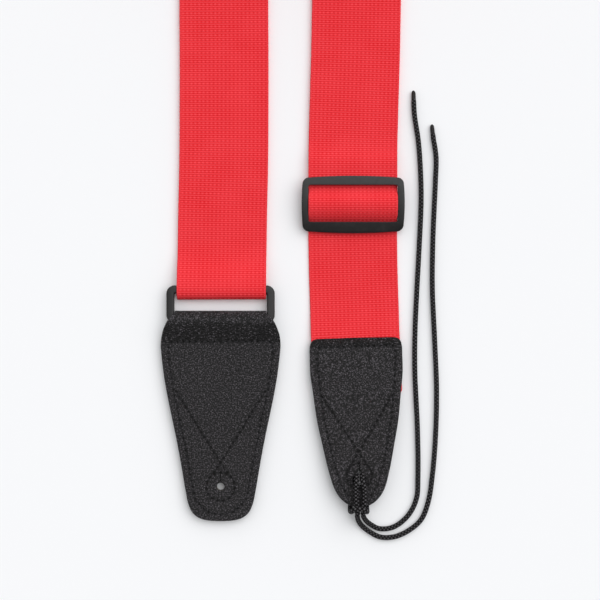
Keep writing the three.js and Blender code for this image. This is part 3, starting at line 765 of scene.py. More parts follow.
@dataclass
class Leaf:
    """One sheet of leather, cut to an outline, with sunk seams, needle holes and rounded edges."""

    outline: Points
    holes: list[Points]
    seams: list[Points]
    faint: list[Points]
    lay: Lay
    thick: float
    crown: float = 0.0
    round_edge: float = 0.6
    grid: float = 0.95  # mm between the mesh's points in the open
    crease_and_shade: Callable[[Points], Points] | None = None
    seam_depth: tuple[float, float] = (0.36, 0.22)  # of the edge seams and of the faint ones
    groove: tuple[float, float] = (0.75, 0.45)  # how wide a seam's groove and a needle hole sink
    dark: tuple[float, float] = (0.72, 0.6)  # how wide a needle hole and a seam paint shade on the face
    seam_lanes: tuple = (-1.1, -0.6, -0.25, 0.25, 0.6, 1.1)  # mesh lines beside a seam
    rim_lanes: tuple = (0.1, 0.28, 0.6)  # mesh lines inside an edge
    stitching: Stitching = EDGE_SEAM

    def build(self, name: str, face: Material, flesh: Material) -> Object:
        """Cuts and shapes the sheet.

        Args:
            name: the piece's name.
            face: the grain side's material.
            flesh: the material of the cut edge and the flesh side.

        Returns:
            the piece.
        """
        flat, triangles = self._triangles()
        spot, outward = self.lay(flat)
        grain = spot + outward * self._relief(flat)[:, None]
        inner = spot - outward * self.thick
        count = len(flat)
        edges = np.sort(np.vstack([triangles[:, pair] for pair in ([0, 1], [1, 2], [2, 0])]), axis=1)
        found, uses = np.unique(edges, axis=0, return_counts=True)
        rim = found[uses == 1]
        walls = np.stack([rim[:, 0], rim[:, 1], rim[:, 1] + count, rim[:, 0] + count], axis=1)
        faces = triangles.tolist() + (triangles[:, ::-1] + count).tolist() + walls.tolist()
        piece = mesh_piece(name, np.vstack([grain, inner]), faces)
        for material in (face, flesh):
            piece.data.materials.append(material)
        slots = np.ones(len(faces), np.int32)
        slots[: len(triangles)] = 0
        piece.data.polygons.foreach_set("material_index", slots)
        mask = np.zeros(2 * count, np.float32)
        if self.crease_and_shade is not None:
            mask[:count] = self.crease_and_shade(flat)
        piece.data.attributes.new("crease_and_shade", "FLOAT", "POINT").data.foreach_set("value", mask)
        mask = np.concatenate([self._hole_shade(flat), np.zeros(count)]).astype(np.float32)
        piece.data.attributes.new("sewn", "FLOAT", "POINT").data.foreach_set("value", mask)
        shade(piece, 55)
        return piece

    def _triangles(self) -> tuple[Points, Points]:
        """The sheet's flat mesh: its points, closer along edges and seams, and its triangles."""
        rims = [evened(np.vstack([loop, loop[:1]]), 0.7)[:-1] for loop in (self.outline, *self.holes)]
        walls = [self._tree(rim) for rim in rims]
        stitched = [evened(seam, 0.5) for seam in [*self.seams, *self.faint]]
        lanes = [lane + np.column_stack([-tangents(lane)[:, 1], tangents(lane)[:, 0]]) * off
                 for lane in stitched for off in self.seam_lanes]
        inset = []
        for rim in rims:
            loop = np.vstack([rim[-1:], rim, rim[:1]])
            normal = np.column_stack([-tangents(loop)[1:-1, 1], tangents(loop)[1:-1, 0]])
            inset += [rim + normal * (off * way) for off in self.rim_lanes for way in (1, -1)]
        low, high = self.outline.min(0), self.outline.max(0)
        xs = np.arange(low[0], high[0], self.grid)
        ys = np.arange(low[1], high[1], self.grid * 0.87)
        field = np.array([[x + (k % 2) * self.grid / 2, y] for k, y in enumerate(ys) for x in xs])
        seam_tree = self._tree(np.vstack(stitched)) if stitched else None
        kept = [field[self._clear(field, walls, 0.95) & self._far(field, seam_tree, 1.5)]]
        close = np.vstack(inset)
        kept.append(close[self._clear(close, walls, 0.08)])
        if lanes:
            close = np.vstack(lanes)
            kept.append(close[self._clear(close, walls, 0.9)])
        inside = np.vstack(kept)
        inside = inside[self._within(inside)]
        inside = inside[np.unique(np.round(inside / 0.12).astype(int), axis=0, return_index=True)[1]]
        points = np.vstack([*rims, inside])
        edges, start = [], 0
        for rim in rims:
            edges += [(start + k, start + (k + 1) % len(rim)) for k in range(len(rim))]
            start += len(rim)
        verts, _, faces, *_ = delaunay_2d_cdt([Vector(p) for p in points], edges, [], 0, 1e-5)
        flat = np.array([list(v) for v in verts])
        triangles = np.array([f for f in faces if len(f) == 3])
        return flat, triangles[self._within(flat[triangles].mean(axis=1))]

    @staticmethod
    def _tree(points: Points) -> KDTree:
        """A search tree over flat points."""
        tree = KDTree(len(points))
        for k, (x, y) in enumerate(points):
            tree.insert((x, y, 0), k)
        tree.balance()
        return tree

    @staticmethod
    def _gap(points: Points, tree: KDTree) -> Points:
        """The distance from each point to the nearest in a tree."""
        return np.array([tree.find((x, y, 0))[2] for x, y in points])

    def _clear(self, points: Points, walls: list[KDTree], gap: float) -> Points:
        """Which points stand off every edge by a gap."""
        return np.all([self._gap(points, wall) > gap for wall in walls], axis=0)

    def _far(self, points: Points, tree: KDTree | None, gap: float) -> Points:
        """Which points stand off the seams by a gap."""
        return np.ones(len(points), bool) if tree is None else self._gap(points, tree) > gap

    def _within(self, points: Points) -> Points:
        """Which points lie on the leather: inside the outline and outside its holes."""
        inside = np.zeros(len(points), bool)
        for loop in (self.outline, *self.holes):
            a, b = loop, np.roll(loop, -1, axis=0)
            for (x0, y0), (x1, y1) in zip(a, b):
                if y0 == y1:
                    continue
                spans = (y0 > points[:, 1]) != (y1 > points[:, 1])
                crossing = (x1 - x0) * (points[:, 1] - y0) / (y1 - y0) + x0
                inside ^= spans & (points[:, 0] < crossing)
        return inside

    def _hole_shade(self, flat: Points) -> Points:
        """How much painted shade each point gets from the needle holes and seams, from 0 to 1."""
        dark = np.zeros(len(flat))
        # the faint seams paint shade on the leather between their holes too
        for seams, share, lane in ((self.seams, 1.0, 0.06), (self.faint, 0.95, 0.45)):
            needle = self._gap(flat, self._tree(np.vstack([self.stitching.holes(seam) for seam in seams])))
            sewn = self._gap(flat, self._tree(np.vstack([evened(seam, 0.25) for seam in seams])))
            near = np.exp(-((needle / self.dark[0]) ** 2)) + lane * np.exp(-((sewn / self.dark[1]) ** 2))
            dark = np.maximum(dark, share * np.clip(near, 0, 1))
        return dark

    def _relief(self, flat: Points) -> Points:
        """How far the grain side stands off the sheet at each point."""
        rims = [evened(np.vstack([loop, loop[:1]]), 0.25) for loop in (self.outline, *self.holes)]
        gap = self._gap(flat, self._tree(np.vstack(rims)))
        past = np.clip(1 - gap / self.round_edge, 0, 1)
        height = -self.round_edge * 0.75 * (1 - np.sqrt(1 - past**2))
        for seams, depth in zip((self.seams, self.faint), self.seam_depth):
            sewn = self._gap(flat, self._tree(np.vstack([evened(seam, 0.25) for seam in seams])))
            needle = self._gap(flat, self._tree(np.vstack([self.stitching.holes(seam) for seam in seams])))
            groove, hole = (np.exp(-((far / reach) ** 2)) for far, reach in zip((sewn, needle), self.groove))
            height -= depth * (groove + hole)
            height += self.crown * (1 - np.exp(-sewn / 2.5)) * np.clip(gap / 3, 0, 1)
        if self.crease_and_shade is not None:
            ripple = np.array([noise.noise(Vector((x / 2.6, y / 1.1, 0.0))) for x, y in flat])
            height += 0.28 * self.crease_and_shade(flat) * ripple * np.clip(gap / 1.5, 0, 1)
        return height


def eye_seams(top: float, top_x: float, cross_y: float, eye_y: float, eye: float) -> list[Points]:
    """The V-shaped sewing: two arms that cross below the webbing's end, and a ring round the hole.

    Args:
        top: where the arms start, along the tab.
        top_x: how far from the middle line they start.
        cross_y: where they cross.
        eye_y: the middle of the ring.
        eye: the ring's radius.

    Returns:
        the ring and the two arms.
    """
    ring = np.array(arc((0.0, eye_y), eye, 90, 450, 33))
    arm = [[top_x, top], [0.0, cross_y], [-0.97 * eye, eye_y + 0.35 * eye]]
    return [ring, np.array(arm), np.array(mirrored(arm))]


def whole(side: Pairs) -> Points:
    """A closed outline from [half width, y] stations down the right side, mirrored to the left."""
    right = np.vstack([side[:1], smooth_line(side[1:], 0.6)])
    return np.vstack([right, mirrored(right[-2::-1])])


@dataclass
class LeftTab:
    """The left tab: one leather wrapped round the ring's near bar and sewn over a stiffener."""

    axis: tuple[float, float, float] = (-34.9, -110.6, 3.9)
    roll: float = 3.9
    stretch: float = 1.22  # how much further the roll reaches than it is high
    flat_z: float = 0.9  # the front face over the axis, past the roll
    thick: float = 1.4
    tip: float = -114.1
    shoulder: tuple = ((25.7, 3.6), (26.6, 2.6), (28.3, 1.0), (29.8, -1.0), (31.0, -3.4), (32.4, -7.0))
    hole_y: float = -94.1
    hole_r: float = 2.2
    slit: float = 6.0
    # where the V's arms start, how far out, where they cross, and the radius of the ring round the hole
    v_top: float = -40.6
    v_top_x: float = 25.0
    v_cross: float = -80.7
    eye: float = 8.0
    side: tuple = ((25.7, -2.2), (29.6, -4.2), (32.4, -7.0), (33.6, -13.5), (33.3, -19.2), (31.9, -31.0),
                   (30.0, -42.3), (27.2, -55.9), (24.6, -68.3), (21.8, -83.6), (19.6, -96.6), (18.1, -103.6),
                   (15.6, -108.9), (11.6, -111.8), (6.2, -113.1), (0.0, -113.4))
    edge: tuple = ((0.0, -12.7), (27.2, -12.7), (29.4, -14.0), (29.5, -18.5), (27.9, -31.0), (26.0, -42.3),
                   (23.1, -55.9), (20.5, -68.3), (17.7, -83.6), (15.4, -96.0), (13.8, -101.6),
                   (11.0, -105.4), (6.6, -108.3), (0.0, -109.8))

    def __post_init__(self) -> None:
        """Bends the section that the leather follows, from the front's tip round to the back's."""
        front = [(self.tip - 2, self.flat_z), (-60, self.flat_z), (-20, self.flat_z), (-13.6, self.flat_z),
                 (-12.2, 1.0), (-10, 1.5), (-8, 2.15), (-5.5, 2.95), (-3, 3.5), (-1.5, 3.78)]
        back = [(-3, -self.roll), (-20, -self.roll), (self.tip - 2, -self.roll)]
        round_bar = [(self.stretch * y, z) for y, z in arc((0, 0), self.roll, 90, -90, 13)]
        section = smooth_line([*front, *round_bar, *back], 0.3)
        self.run = run_of(section)
        self.section = section
        self.turned = int(np.argmax(section[:, 0]))

    def along(self, y: Points, back: bool) -> Points:
        """How far along the leather a place on the front or the back lies."""
        part = slice(self.turned, None) if back else slice(None, self.turned + 1)
        ys, runs = self.section[part, 0], self.run[part]
        return np.interp(y, ys[::-1], runs[::-1]) if back else np.interp(y, ys, runs)

    def lay(self, flat: Points) -> tuple[Points, Points]:
        """Puts points of the flat leather on its section, with the outward directions."""
        y, z = (np.interp(flat[:, 1], self.run, self.section[:, k]) for k in (0, 1))
        slope = tangents(self.section)
        dy, dz = (np.interp(flat[:, 1], self.run, slope[:, k]) for k in (0, 1))
        outward = unit(np.column_stack([np.zeros(len(y)), -dz, dy]))
        return np.column_stack([flat[:, 0], y, z]) + np.array(self.axis), outward

    def on_sheet(self, line: Points, back: bool) -> Points:
        """A plan line on the front or the back, in the flat leather's coordinates."""
        return np.column_stack([line[:, 0], self.along(line[:, 1], back)])

    def _outline(self) -> Points:
        """The flat leather: the front's outline, the narrow roll and the back's outline."""
        back = self.on_sheet(np.vstack([self.side[0], smooth_line(self.side[1:], 0.6)]), True)
        front = self.on_sheet(smooth_line([*self.shoulder, *self.side[3:]], 0.6), False)
        right = np.vstack([front[::-1], back])
        return np.vstack([right, mirrored(right[-2:0:-1])])

    def _button_hole(self) -> Points:
        """The round hole with the slit above it, as one closed plan line."""
        lip = 0.12  # half width of the slit
        opening = math.degrees(math.asin(lip / self.hole_r))
        ring = arc((0, self.hole_y), self.hole_r, 90 + opening, 450 - opening, 25)
        top = self.hole_y + self.hole_r + self.slit
        root, tip = (lip, self.hole_y + 4), (lip * 0.8, top)
        return np.array([*ring, root, tip, *mirrored([tip, root])])

    def _shaded_crease(self, flat: Points) -> Points:
        """Where the leather is crumpled and painted in shade: on the roll's slope, down to the first seam.
        """
        y = np.interp(flat[:, 1], self.run, self.section[:, 0])
        front = flat[:, 1] < self.run[self.turned]
        return np.where(front, np.clip((y + 13.4) / 1.0, 0, 1) * np.clip((-y - 0.5) / 2.2, 0.12, 1), 0.15)

    def build(self, face: Material, flesh: Material, thread: Material) -> list[Object]:
        """Makes the leather and its four seams."""
        perimeter = [evened(np.array(route), 0.5) for route in (self.edge, mirrored(self.edge))]
        arms = eye_seams(self.v_top, self.v_top_x, self.v_cross, self.hole_y, self.eye)
        eye = [evened(line, 0.5) for line in arms]
        sides = {"front": False, "back": True}
        seams = {f"tab_a_{kind}_thread_{name}": [self.on_sheet(line, back) for line in lines]
                 for name, back in sides.items() for kind, lines in (("edge", perimeter), ("v", eye))}
        holes = [self.on_sheet(self._button_hole(), back) for back in sides.values()]
        sewn = {kind: [line for name, lines in seams.items() if kind in name for line in lines]
                for kind in ("_edge_", "_v_")}
        leaf = Leaf(self._outline(), holes, sewn["_edge_"], sewn["_v_"], self.lay, self.thick,
                    crease_and_shade=self._shaded_crease)
        leather = leaf.build("left_tab_leather", face, flesh)
        pieces = [finished(leather, face, Slot.LEATHER, ["tab_a_leather"])]
        for name, lines in seams.items():
            seam = TIGHT_SEAM if "_v_" in name else EDGE_SEAM
            piece = seam.build(name + "_stitches", lines, self.lay)
            pieces.append(finished(piece, thread, Slot.THREAD, [name]))
        for piece in pieces:
            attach(piece, Body.LEFT_TAB.value)
        return pieces


@dataclass
class RightTab:
    """The right tab: two leathers sewn over the webbing's cut end, worn open for the lace."""

    x: float = 40.9
    y: float = -121.3
    turn: float = 0.026
    lift: float = 0.0402
    stack: float = 4.4
    thick: float = 1.2
    side: tuple = ((0.0, 0.15), (21.6, 0.0), (24.0, -0.8), (25.3, -2.4), (25.9, -5.0), (26.0, -10.5),
                   (25.9, -20.0), (24.6, -31.0), (22.9, -45.5), (20.1, -59.9), (17.1, -74.0), (13.6, -85.3),
                   (9.5, -90.9), (5.0, -93.8), (0.0, -94.5))
    edge: tuple = ((0.0, -5.0), (20.6, -5.0), (21.9, -6.4), (22.1, -10.5), (20.6, -31.0), (18.8, -45.5),
                   (16.0, -59.9), (13.1, -73.2), (10.0, -83.0), (6.8, -87.6), (3.0, -90.0), (0.0, -90.4))
    # [y, half width] of the opening, a slit at its far end
    mouth: tuple = ((-69.0, 0.15), (-74.2, 0.2), (-75.8, 1.6), (-77.0, 3.1), (-78.6, 3.7), (-80.4, 4.0),
                    (-81.9, 3.5), (-82.6, 2.4))
    # where the V's arms start, how far out, where they cross, and the ring round the mouth
    v_top: float = -32.5
    v_top_x: float = 19.6
    v_cross: float = -64.2
    eye_y: float = -77.0
    eye: float = 7.0
    slit_end: float = -75.0
    back_slit: float = 0.03  # half width of the back's slit, which has closed

    def set_down(self, points: Points) -> Points:
        """Points in the tab's own frame, set down in the strap's."""
        turned = Matrix.Rotation(self.turn, 3, "Z") @ Matrix.Rotation(-self.lift, 3, "X")
        return points @ np.array(turned).T + np.array([self.x, self.y, 0.0])

    def lay(self, flat: Points, z: float, up: float) -> tuple[Points, Points]:
        """Puts flat points on a face at height z that looks up or down, with the outward directions."""
        outward = self.set_down(np.array([[0, 0, up]])) - self.set_down(np.zeros((1, 3)))
        # the far edge is turned down on to the webbing
        drop = 0.55 * np.exp(-(((flat[:, 1] - 0.2) / 2.2) ** 2)) if up > 0 else 0.0
        spot = self.set_down(np.column_stack([flat, np.full(len(flat), z) - drop]))
        return spot, np.tile(outward, (len(flat), 1))

    def _shaded_crease(self, flat: Points) -> Points:
        """Where the leather is crumpled and painted in shade: along the turned far edge, and a little round
        the mouth.
        """
        far = np.clip((flat[:, 1] + 5.0) / 1.0, 0, 1)
        # round the mouth the leather is crumpled and painted in shade as well
        worn = 0.5 * np.exp(-(((np.hypot(flat[:, 0], flat[:, 1] + 79) - 4) / 4) ** 2))
        return np.maximum(far, worn)

    def build(self, face: Material, flesh: Material, thread: Material) -> list[Object]:
        """Makes both leathers and their four seams."""
        outline = whole(self.side)
        perimeter = [evened(np.array(route), 0.5) for route in (self.edge, mirrored(self.edge))]
        arms = eye_seams(self.v_top, self.v_top_x, self.v_cross, self.eye_y, self.eye)
        eye = [evened(line, 0.5) for line in arms]
        pieces = []
        for name, z, up in (("front", self.stack, 1.0), ("back", 0.0, -1.0)):
            def lay(flat: Points, z: float = z, up: float = up) -> tuple[Points, Points]:
                """This leather's own face."""
                return self.lay(flat, z, up)

            crown = 0.12 if up > 0 else 0.0
            mouth = [(x if up > 0 or y < self.slit_end else self.back_slit, y) for y, x in self.mouth]
            opening = np.vstack([mouth, mirrored(mouth[::-1])])
            leaf = Leaf(outline, [opening], perimeter, eye, lay, self.thick, crown=crown,
                        crease_and_shade=self._shaded_crease)
            piece = leaf.build(f"right_tab_{name}_leather", face, flesh)
            pieces.append(finished(piece, face, Slot.LEATHER, [f"tab_b_{name}_leather"]))
            for kind, seam, lines in (("edge", EDGE_SEAM, perimeter), ("v", TIGHT_SEAM, eye)):
                node = f"tab_b_{kind}_thread_{name}"
                piece = seam.build(node + "_stitches", lines, lay)
                pieces.append(finished(piece, thread, Slot.THREAD, [node]))
        for piece in pieces:
            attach(piece, Body.STRAP.value)
        return pieces


# ---- moulded parts ------------------------------------------------------------------------------


def pick(piece: Object, kind: str, test: Callable) -> None:
    """Selects, in edit mode, the faces or edges that pass a test, and nothing else.

    Args:
        piece: the object in edit mode.
        kind: "faces", "edges" or "verts".
        test: says of one of them whether it is picked.
    """
    modes = {"verts": "VERT", "edges": "EDGE", "faces": "FACE"}
    bpy.ops.mesh.select_mode(type=modes[kind])
    bpy.ops.mesh.select_all(action="DESELECT")
    shape = bmesh.from_edit_mesh(piece.data)
    for item in getattr(shape, kind):
        item.select = bool(test(item))
    shape.select_flush_mode()
    bmesh.update_edit_mesh(piece.data)


@dataclass(frozen=True)
class MouldedFrame:
    """A moulded frame with one window: a block, inset and pierced, with its corners rounded."""

    name: str
    centre: tuple[float, float, float]
    width: float
    height: float
    thick: float
    side: float  # width of the two side bars, and then of the far and the near bar
    far: float
    near: float
    corner: float  # radius of an outer corner, and then of a corner of the window
    window_corner: float
    soften: float  # radius along the edges

    def block(self) -> Object:
        """Makes the frame, flat, with its edges still sharp."""
        at = Vector(placed(np.array(self.centre)).tolist())
        w, h, t = self.width * MM, self.height * MM, self.thick * MM
        bpy.ops.object.select_all(action="DESELECT")
        bpy.ops.mesh.primitive_cube_add(size=1, location=at, scale=(w, h, t))
        piece = bpy.context.active_object
        piece.name = self.name
        bpy.ops.object.transform_apply(location=True, rotation=True, scale=True)
        bpy.ops.object.mode_set(mode="EDIT")
        pick(piece, "faces", lambda f: abs(f.normal.z) > 0.9)
        bpy.ops.mesh.inset(thickness=self.side * MM, use_even_offset=True)
        bpy.ops.mesh.bridge_edge_loops()
        rim = Vector((w / 2, h / 2, 0)) * 0.999
        for way, bar in ((1, self.far), (-1, self.near)):
            pick(piece, "verts", lambda v: abs(v.co.x - at.x) < rim.x and 0 < (v.co.y - at.y) * way < rim.y)
            bpy.ops.transform.translate(value=(0, -way * (bar - self.side) * MM, 0))
        upright = lambda e: abs(e.verts[0].co.z - e.verts[1].co.z) > 0.9 * t
        outer = lambda e: upright(e) and abs(e.verts[0].co.x - at.x) > rim.x
        pick(piece, "edges", outer)
        bpy.ops.mesh.bevel(offset=self.corner * MM, segments=7, affect="EDGES")
        window = w / 2 - self.side * MM
        within = lambda e: upright(e) and abs(abs(e.verts[0].co.x - at.x) - window) < 1e-5
        pick(piece, "edges", within)
        bpy.ops.mesh.bevel(offset=self.window_corner * MM, segments=5, affect="EDGES")
        bpy.ops.object.mode_set(mode="OBJECT")
        return piece

    def softened(self, piece: Object) -> Object:
        """Rounds every edge of a moulded piece, and shades it."""
        activate(piece)
        bevel = piece.modifiers.new("soft edges", "BEVEL")
        bevel.width = self.soften * MM
        bevel.segments = 4
        bevel.limit_method = "ANGLE"
        bevel.angle_limit = math.radians(35)
        bpy.ops.object.modifier_apply(modifier=bevel.name)
        face_outwards(piece)
        shade(piece, 35)
        return piece


@dataclass
class Hardware:
    """The rectangular ring on the left leg and the slider on the right one."""

    ring: MouldedFrame = MouldedFrame(
        "ring_moulding", (-34.9, -102.2, 3.9), width=60.8, height=21.2, thick=4.4, side=4.4, far=4.4,
        near=4.4, corner=4.5, window_corner=1.4, soften=1.85)
    slider: MouldedFrame = MouldedFrame(
        "slider_moulding", (39.45, -46.25, 0.0), width=57.7, height=31.9, thick=2.6, side=3.8, far=5.0,
        near=6.2, corner=3.6, window_corner=1.2, soften=0.75)
    arch: tuple[float, float, float, float] = (3.9, 6.6, 6.7, 13.5)  # near, middle and far heights; reach
    bow: tuple[float, float] = (1.3, 0.9)  # how far the long and the short outer sides bow
    bar_z: float = 4.6  # of the middle bar's axis
    bar_radius: float = 1.5
    cheek: tuple[float, float, float] = (3.1, 6.0, 2.6)  # the block that the middle bar ends in

    def height(self, y: float) -> float:
        """The slider's middle height at a distance from its middle bar, towards the far end."""
        near, middle, far, reach = self.arch
        at = y / reach
        return middle + (far - near) / 2 * at + ((near + far) / 2 - middle) * at * at

    def build(self) -> list[Object]:
        """Makes both mouldings, dresses them and hangs them on their bodies."""
        plastic = MouldedFinish().material()
        ring = finished(self.ring.softened(self.ring.block()), plastic, Slot.HARDWARE, ["rectangular_ring"])
        slider = finished(self._slider(), plastic, Slot.HARDWARE, ["tri_glide_slider"])
        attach(ring, Body.RING.value)
        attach(slider, Body.SLIDER.value)
        return [ring, slider]

    def _slider(self) -> Object:
        """The slider: an arched frame with a round middle bar hung below it on two cheeks."""
        frame_piece = self.slider.block()
        x, y, _ = placed(np.array(self.slider.centre))
        bpy.ops.object.mode_set(mode="EDIT")
        # the arch and the bows need vertices along the bars
        cuts = [((0, 1, 0), cut) for cut in np.linspace(-14.5, 14.5, 15)]
        cuts += [((1, 0, 0), cut) for cut in np.linspace(-24, 24, 13)]
        for normal, cut in cuts:
            bpy.ops.mesh.select_all(action="SELECT")
            spot = Vector((x, y, 0)) + Vector(normal) * cut * MM
            bpy.ops.mesh.bisect(plane_co=spot, plane_no=normal)
        bpy.ops.object.mode_set(mode="OBJECT")
        half = Vector((self.slider.width, self.slider.height)) * MM / 2
        for vertex in frame_piece.data.vertices:
            off = Vector((vertex.co.x - x, vertex.co.y - y))
            vertex.co.z += self.height(off.y / MM) * MM
            # every outer side bows outwards a little between its corners
            bar = max(0.0, 1 - (half.y - abs(off.y)) / (self.slider.far * MM))
            post = max(0.0, 1 - (half.x - abs(off.x)) / (self.slider.side * MM))
            vertex.co.y -= math.copysign(self.bow[0] * MM * bar * (off.x / half.x) ** 2, off.y)
            vertex.co.x -= math.copysign(self.bow[1] * MM * post * (off.y / half.y) ** 2, off.x)
        self.slider.softened(frame_piece)
        parts = [frame_piece]
        bpy.ops.object.select_all(action="DESELECT")
        length = (self.slider.width - self.slider.side) * MM
        bpy.ops.mesh.primitive_cylinder_add(vertices=28, radius=self.bar_radius * MM, depth=length,
                                            location=(x, y, self.bar_z * MM), rotation=(0, math.pi / 2, 0))
        parts.append(bpy.context.active_object)
        bpy.ops.object.transform_apply(location=True, rotation=True, scale=True)
        for way in (-1, 1):
            bpy.ops.object.select_all(action="DESELECT")
            spot = (x + way * length / 2, y, (self.bar_z + 0.2) * MM)
            bpy.ops.mesh.primitive_cube_add(size=1, location=spot, scale=[s * MM for s in self.cheek])
            cheek = bpy.context.active_object
            bpy.ops.object.transform_apply(location=True, rotation=True, scale=True)
            parts.append(self.slider.softened(cheek))
        bpy.ops.object.select_all(action="DESELECT")
        for part in parts:
            part.select_set(True)
        bpy.context.view_layer.objects.active = frame_piece
        bpy.ops.object.join()
        shade(frame_piece, 35)
        return frame_piece


# ---- lace ---------------------------------------------------------------------------------------


@dataclass
class Lace:
    """The lace that ties the strap to a headstock: a lark's head through the right tab, and two tails."""

    diameter: float = 2.8
    sides: int = 16
    step: float = 0.8
    hitch: tuple = (
        (41.9, -219.6, 8.6), (41.4, -214, 10.1), (40.9, -207, 9.9), (41.3, -200.9, 9.3),
        (41.6, -198, 6.3), (41.1, -199.2, 2.8), (39.8, -204, 1.55), (38.6, -210.5, 1.6),
        (38.1, -215.8, 1.9), (38, -218.2, 5), (38.5, -217.9, 9.4), (39.4, -216.9, 12.2),
        (41.2, -216.1, 13.4), (42.7, -215.9, 13.6), (44.2, -216.1, 13.4), (46, -216.9, 12.2),
        (46.9, -217.9, 9.4), (47.3, -218.2, 5), (47.2, -215.8, 1.9), (46.7, -210.5, 1.6),
        (45.7, -204, 1.55), (45, -199.2, 2.8), (44.6, -198, 6.3), (44.9, -200.9, 9.3), (45.8, -207, 9.9),
        (45.5, -214, 10.1), (44.9, -219.3, 8.6))
    inner: tuple = (
        (45, -220.3, 7.9), (46.2, -222.9, 5), (49.2, -226, 2), (54.6, -228.7, 1.5), (62.7, -227.6, 1.5),
        (70.8, -221, 1.5), (75.4, -211.5, 1.5), (76.2, -199, 1.5), (75.9, -172, 1.5), (74.5, -141, 1.5),
        (74.5, -120, 1.5), (75.4, -98, 1.5), (76.9, -70, 1.5), (78, -44, 1.5), (77.6, -26, 1.5),
        (76.4, -10, 1.5), (74.2, 5, 1.5), (73.6, 18.2, 1.5))
    outer: tuple = (
        (41.7, -220.6, 7.9), (42.4, -223.5, 5), (44.6, -227, 2), (48.6, -230.2, 1.5), (55, -233.4, 1.5),
        (63, -233.2, 1.5), (71, -229.7, 1.5), (78, -223.5, 1.5), (82, -213.5, 1.5), (84.4, -198, 1.5),
        (86.2, -175, 1.5), (86.7, -150, 1.5), (85.6, -122, 1.5), (84.3, -92, 1.5), (84.7, -64, 1.5),
        (86, -34, 1.5), (86.4, -19, 1.5), (84.8, -8, 1.5), (84, -0.9, 1.5))

    def build(self) -> list[Object]:
        braid = BraidFinish().material()
        tip = FibreFinish("Nylon lace, melted tip", 0x131212, 0x2D2B2B, 0.5, 0.4, 0.03).material()
        hitch = self._tube("lace_hitch_knot", self.hitch, braid, None)
        finished(hitch, braid, Slot.LACE, ["lace_hitch"])
        pieces = [hitch]
        for name, points in (("inner", self.inner), ("outer", self.outer)):
            tail = self._tube(f"lace_{name}_tail_braid", points, braid, tip)
            finished(tail, braid, Slot.LACE, [f"lace_{name}_tail"])
            line = placed(smooth_line(points, self.step))
            float(run_of(line)[-1])
            pieces.append(tail)
        for piece in pieces:
            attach(piece, Body.STRAP.value)
        return pieces

    def _tube(self, name: str, points: Pairs, braid: Material, tip: Material | None) -> Object:
        """One length of lace along points, with a melted tip at its far end if tip is given."""
        line = smooth_line(points, self.step)
        run = run_of(line)
        ahead = tangents(line)
        side = unit(np.cross(ahead[0], [0.3, 0.2, 1.0]))
        sides = []
        for direction in ahead:  # carry the section along without twisting it
            side = unit(side - direction * np.dot(side, direction))
            sides.append(side)
        sides = np.array(sides)
        up = np.cross(ahead, sides)
        turns = (np.arange(self.sides) * 2 * np.pi / self.sides)[None, :, None]
        girth = np.full(len(line), self.diameter / 2)
        if tip is not None:
            left = run[-1] - run
            girth *= np.interp(left, [0, 0.5, 1.5, 5.0, 6.0], [0.35, 0.7, 0.84, 0.88, 1.0])
        rings = sides[:, None, :] * np.cos(turns) + up[:, None, :] * np.sin(turns)
        rows = line[:, None, :] + rings * girth[:, None, None]
        piece = skin(name, rows, np.linspace(0, 1, self.sides + 1), run * MM)
        piece.data.materials.append(braid)
        if tip is not None:
            piece.data.materials.append(tip)
            melted = set(np.nonzero(run > run[-1] - 5.0)[0].tolist())
            for face in piece.data.polygons:
                if min(face.vertices) // self.sides in melted:
                    face.material_index = 1
        shade(piece, 60)
        return piece


# ---- sewn end -----------------------------------------------------------------------------------


@dataclass
class EndSeam:
    """The box of stitches that closes the webbing's end round the slider's middle bar."""

    half: float = 20.5
    far_y: float = -26.8
    near_y: float = -33.4

    def build(self, leg: Leg, thread: Material) -> Object:
        """Makes the stitches on the tail's underside.

        Args:
            leg: the leg that the tail lies along.
            thread: the thread's material.

        Returns:
            the piece.
        """
        x = float(leg.x(self.far_y))
        box = [[x - self.half, self.far_y], [x + self.half, self.far_y], [x + self.half, self.near_y],
               [x - self.half, self.near_y], [x - self.half, self.far_y]]

        def lay(flat: Points) -> tuple[Points, Points]:
            """The tail's underside, on the plane of the floor, which looks down."""
            count = len(flat)
            return np.column_stack([flat, np.zeros(count)]), np.tile([0.0, 0.0, -1.0], (count, 1))

        piece = TIGHT_SEAM.build("webbing_end_stitches", [np.array(box)], lay)
        finished(piece, thread, Slot.THREAD, ["webbing_end_thread"])
        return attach(piece, Body.SLIDER.value)


# ---- the stage ----------------------------------------------------------------------------------


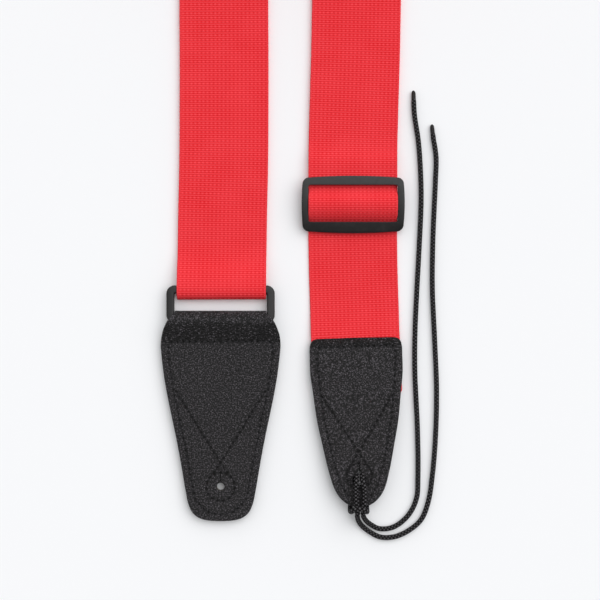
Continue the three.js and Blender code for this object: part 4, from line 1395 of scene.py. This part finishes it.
@dataclass
class Studio:
    """A pale floor under a soft sky, a broad key light from the far right, and the camera above."""

    floor_colour: int = 0xF7F8FA
    floor_size: float = 8.0
    sky: float = 0.6  # the sky's mean strength
    sky_spread: float = 0.7  # how much of it the near side loses and the far side gains
    key: float = 1.52
    key_angle: float = 70.0  # how broad the key light is, in degrees
    key_way: tuple[float, float, float] = (-0.5, -0.35, -1.0)
    camera: tuple[float, float, float] = (0.009215, -0.100345, 0.8)
    lens: float = 85.0
    sensor: float = 36.0

    def shoot_from(self) -> None:
        """Sets up the camera, straight above the strap's near half."""
        data = bpy.data.cameras.new("camera")
        data.lens, data.sensor_width = self.lens, self.sensor
        camera = bpy.data.objects.new("camera", data)
        camera.location = self.camera
        bpy.context.scene.collection.objects.link(camera)
        bpy.context.scene.camera = camera

    def light(self) -> None:
        """Lays the floor and lights it."""
        scene = bpy.context.scene
        scene.view_settings.view_transform = "Standard"
        bpy.ops.object.select_all(action="DESELECT")
        bpy.ops.mesh.primitive_plane_add(size=self.floor_size, location=(0, 0, -0.0001))
        floor = bpy.context.active_object
        floor.name = "floor"
        paint = {"Specular IOR Level": 0.0, "Base Color": linear(self.floor_colour), "Roughness": 1.0}
        material = new_material("Studio floor, matt white", paint)[0]
        floor.data.materials.append(material)
        sun = bpy.data.lights.new("key", "SUN")
        sun.energy, sun.angle = self.key, math.radians(self.key_angle)
        key = bpy.data.objects.new("key", sun)
        key.rotation_euler = Vector(self.key_way).to_track_quat("-Z", "Y").to_euler()
        scene.collection.objects.link(key)
        world = bpy.data.worlds.new("sky")
        world.use_nodes = True
        scene.world = world
        tree = world.node_tree
        tree.nodes.clear()
        spot = add(tree, "SeparateXYZ", {0: add(tree, "TexCoord").outputs["Generated"]})
        ends = [self.sky * (1 + self.sky_spread * way) for way in (-1, 1)]
        glow = ranged(tree, spot.outputs[1], -0.75, 0.75, *ends)
        sky = add(tree, "Background", {0: (1.0, 1.0, 1.0, 1.0), 1: glow})
        add(tree, "OutputWorld", {0: sky.outputs[0]})


def main() -> None:
    """Builds the strap piece by piece and reports each one."""
    logging.basicConfig(level=logging.INFO, format="%(message)s")
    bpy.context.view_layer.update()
    studio = Studio()
    studio.shoot_from()
    pieces = Lace().build()
    right_tab = RightTab()
    webbing = Webbing()
    pieces += webbing.build(right_tab)
    leather = LeatherFinish().material()
    flesh = FibreFinish("Leather, cut edge and flesh side", 0x121112, 0x242223).material()
    thread = FibreFinish("Bonded polyester thread, black", 0x101011, 0x302F32, 0.15, 0.6, 0.03).material()
    pieces += LeftTab().build(leather, flesh, thread)
    pieces += right_tab.build(leather, flesh, thread)
    pieces += Hardware().build()
    pieces.append(EndSeam().build(webbing.right, thread))
    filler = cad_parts["tab_a_filler"]
    filler.data.materials.clear()
    filler.data.materials.append(FibreFinish("Fibre board stiffener", 0x6B645C, 0x9A9389, 0.3).material())
    studio.light()
    LOG.info("%d pieces made", len(pieces))


if __name__ == "__main__":
    main()
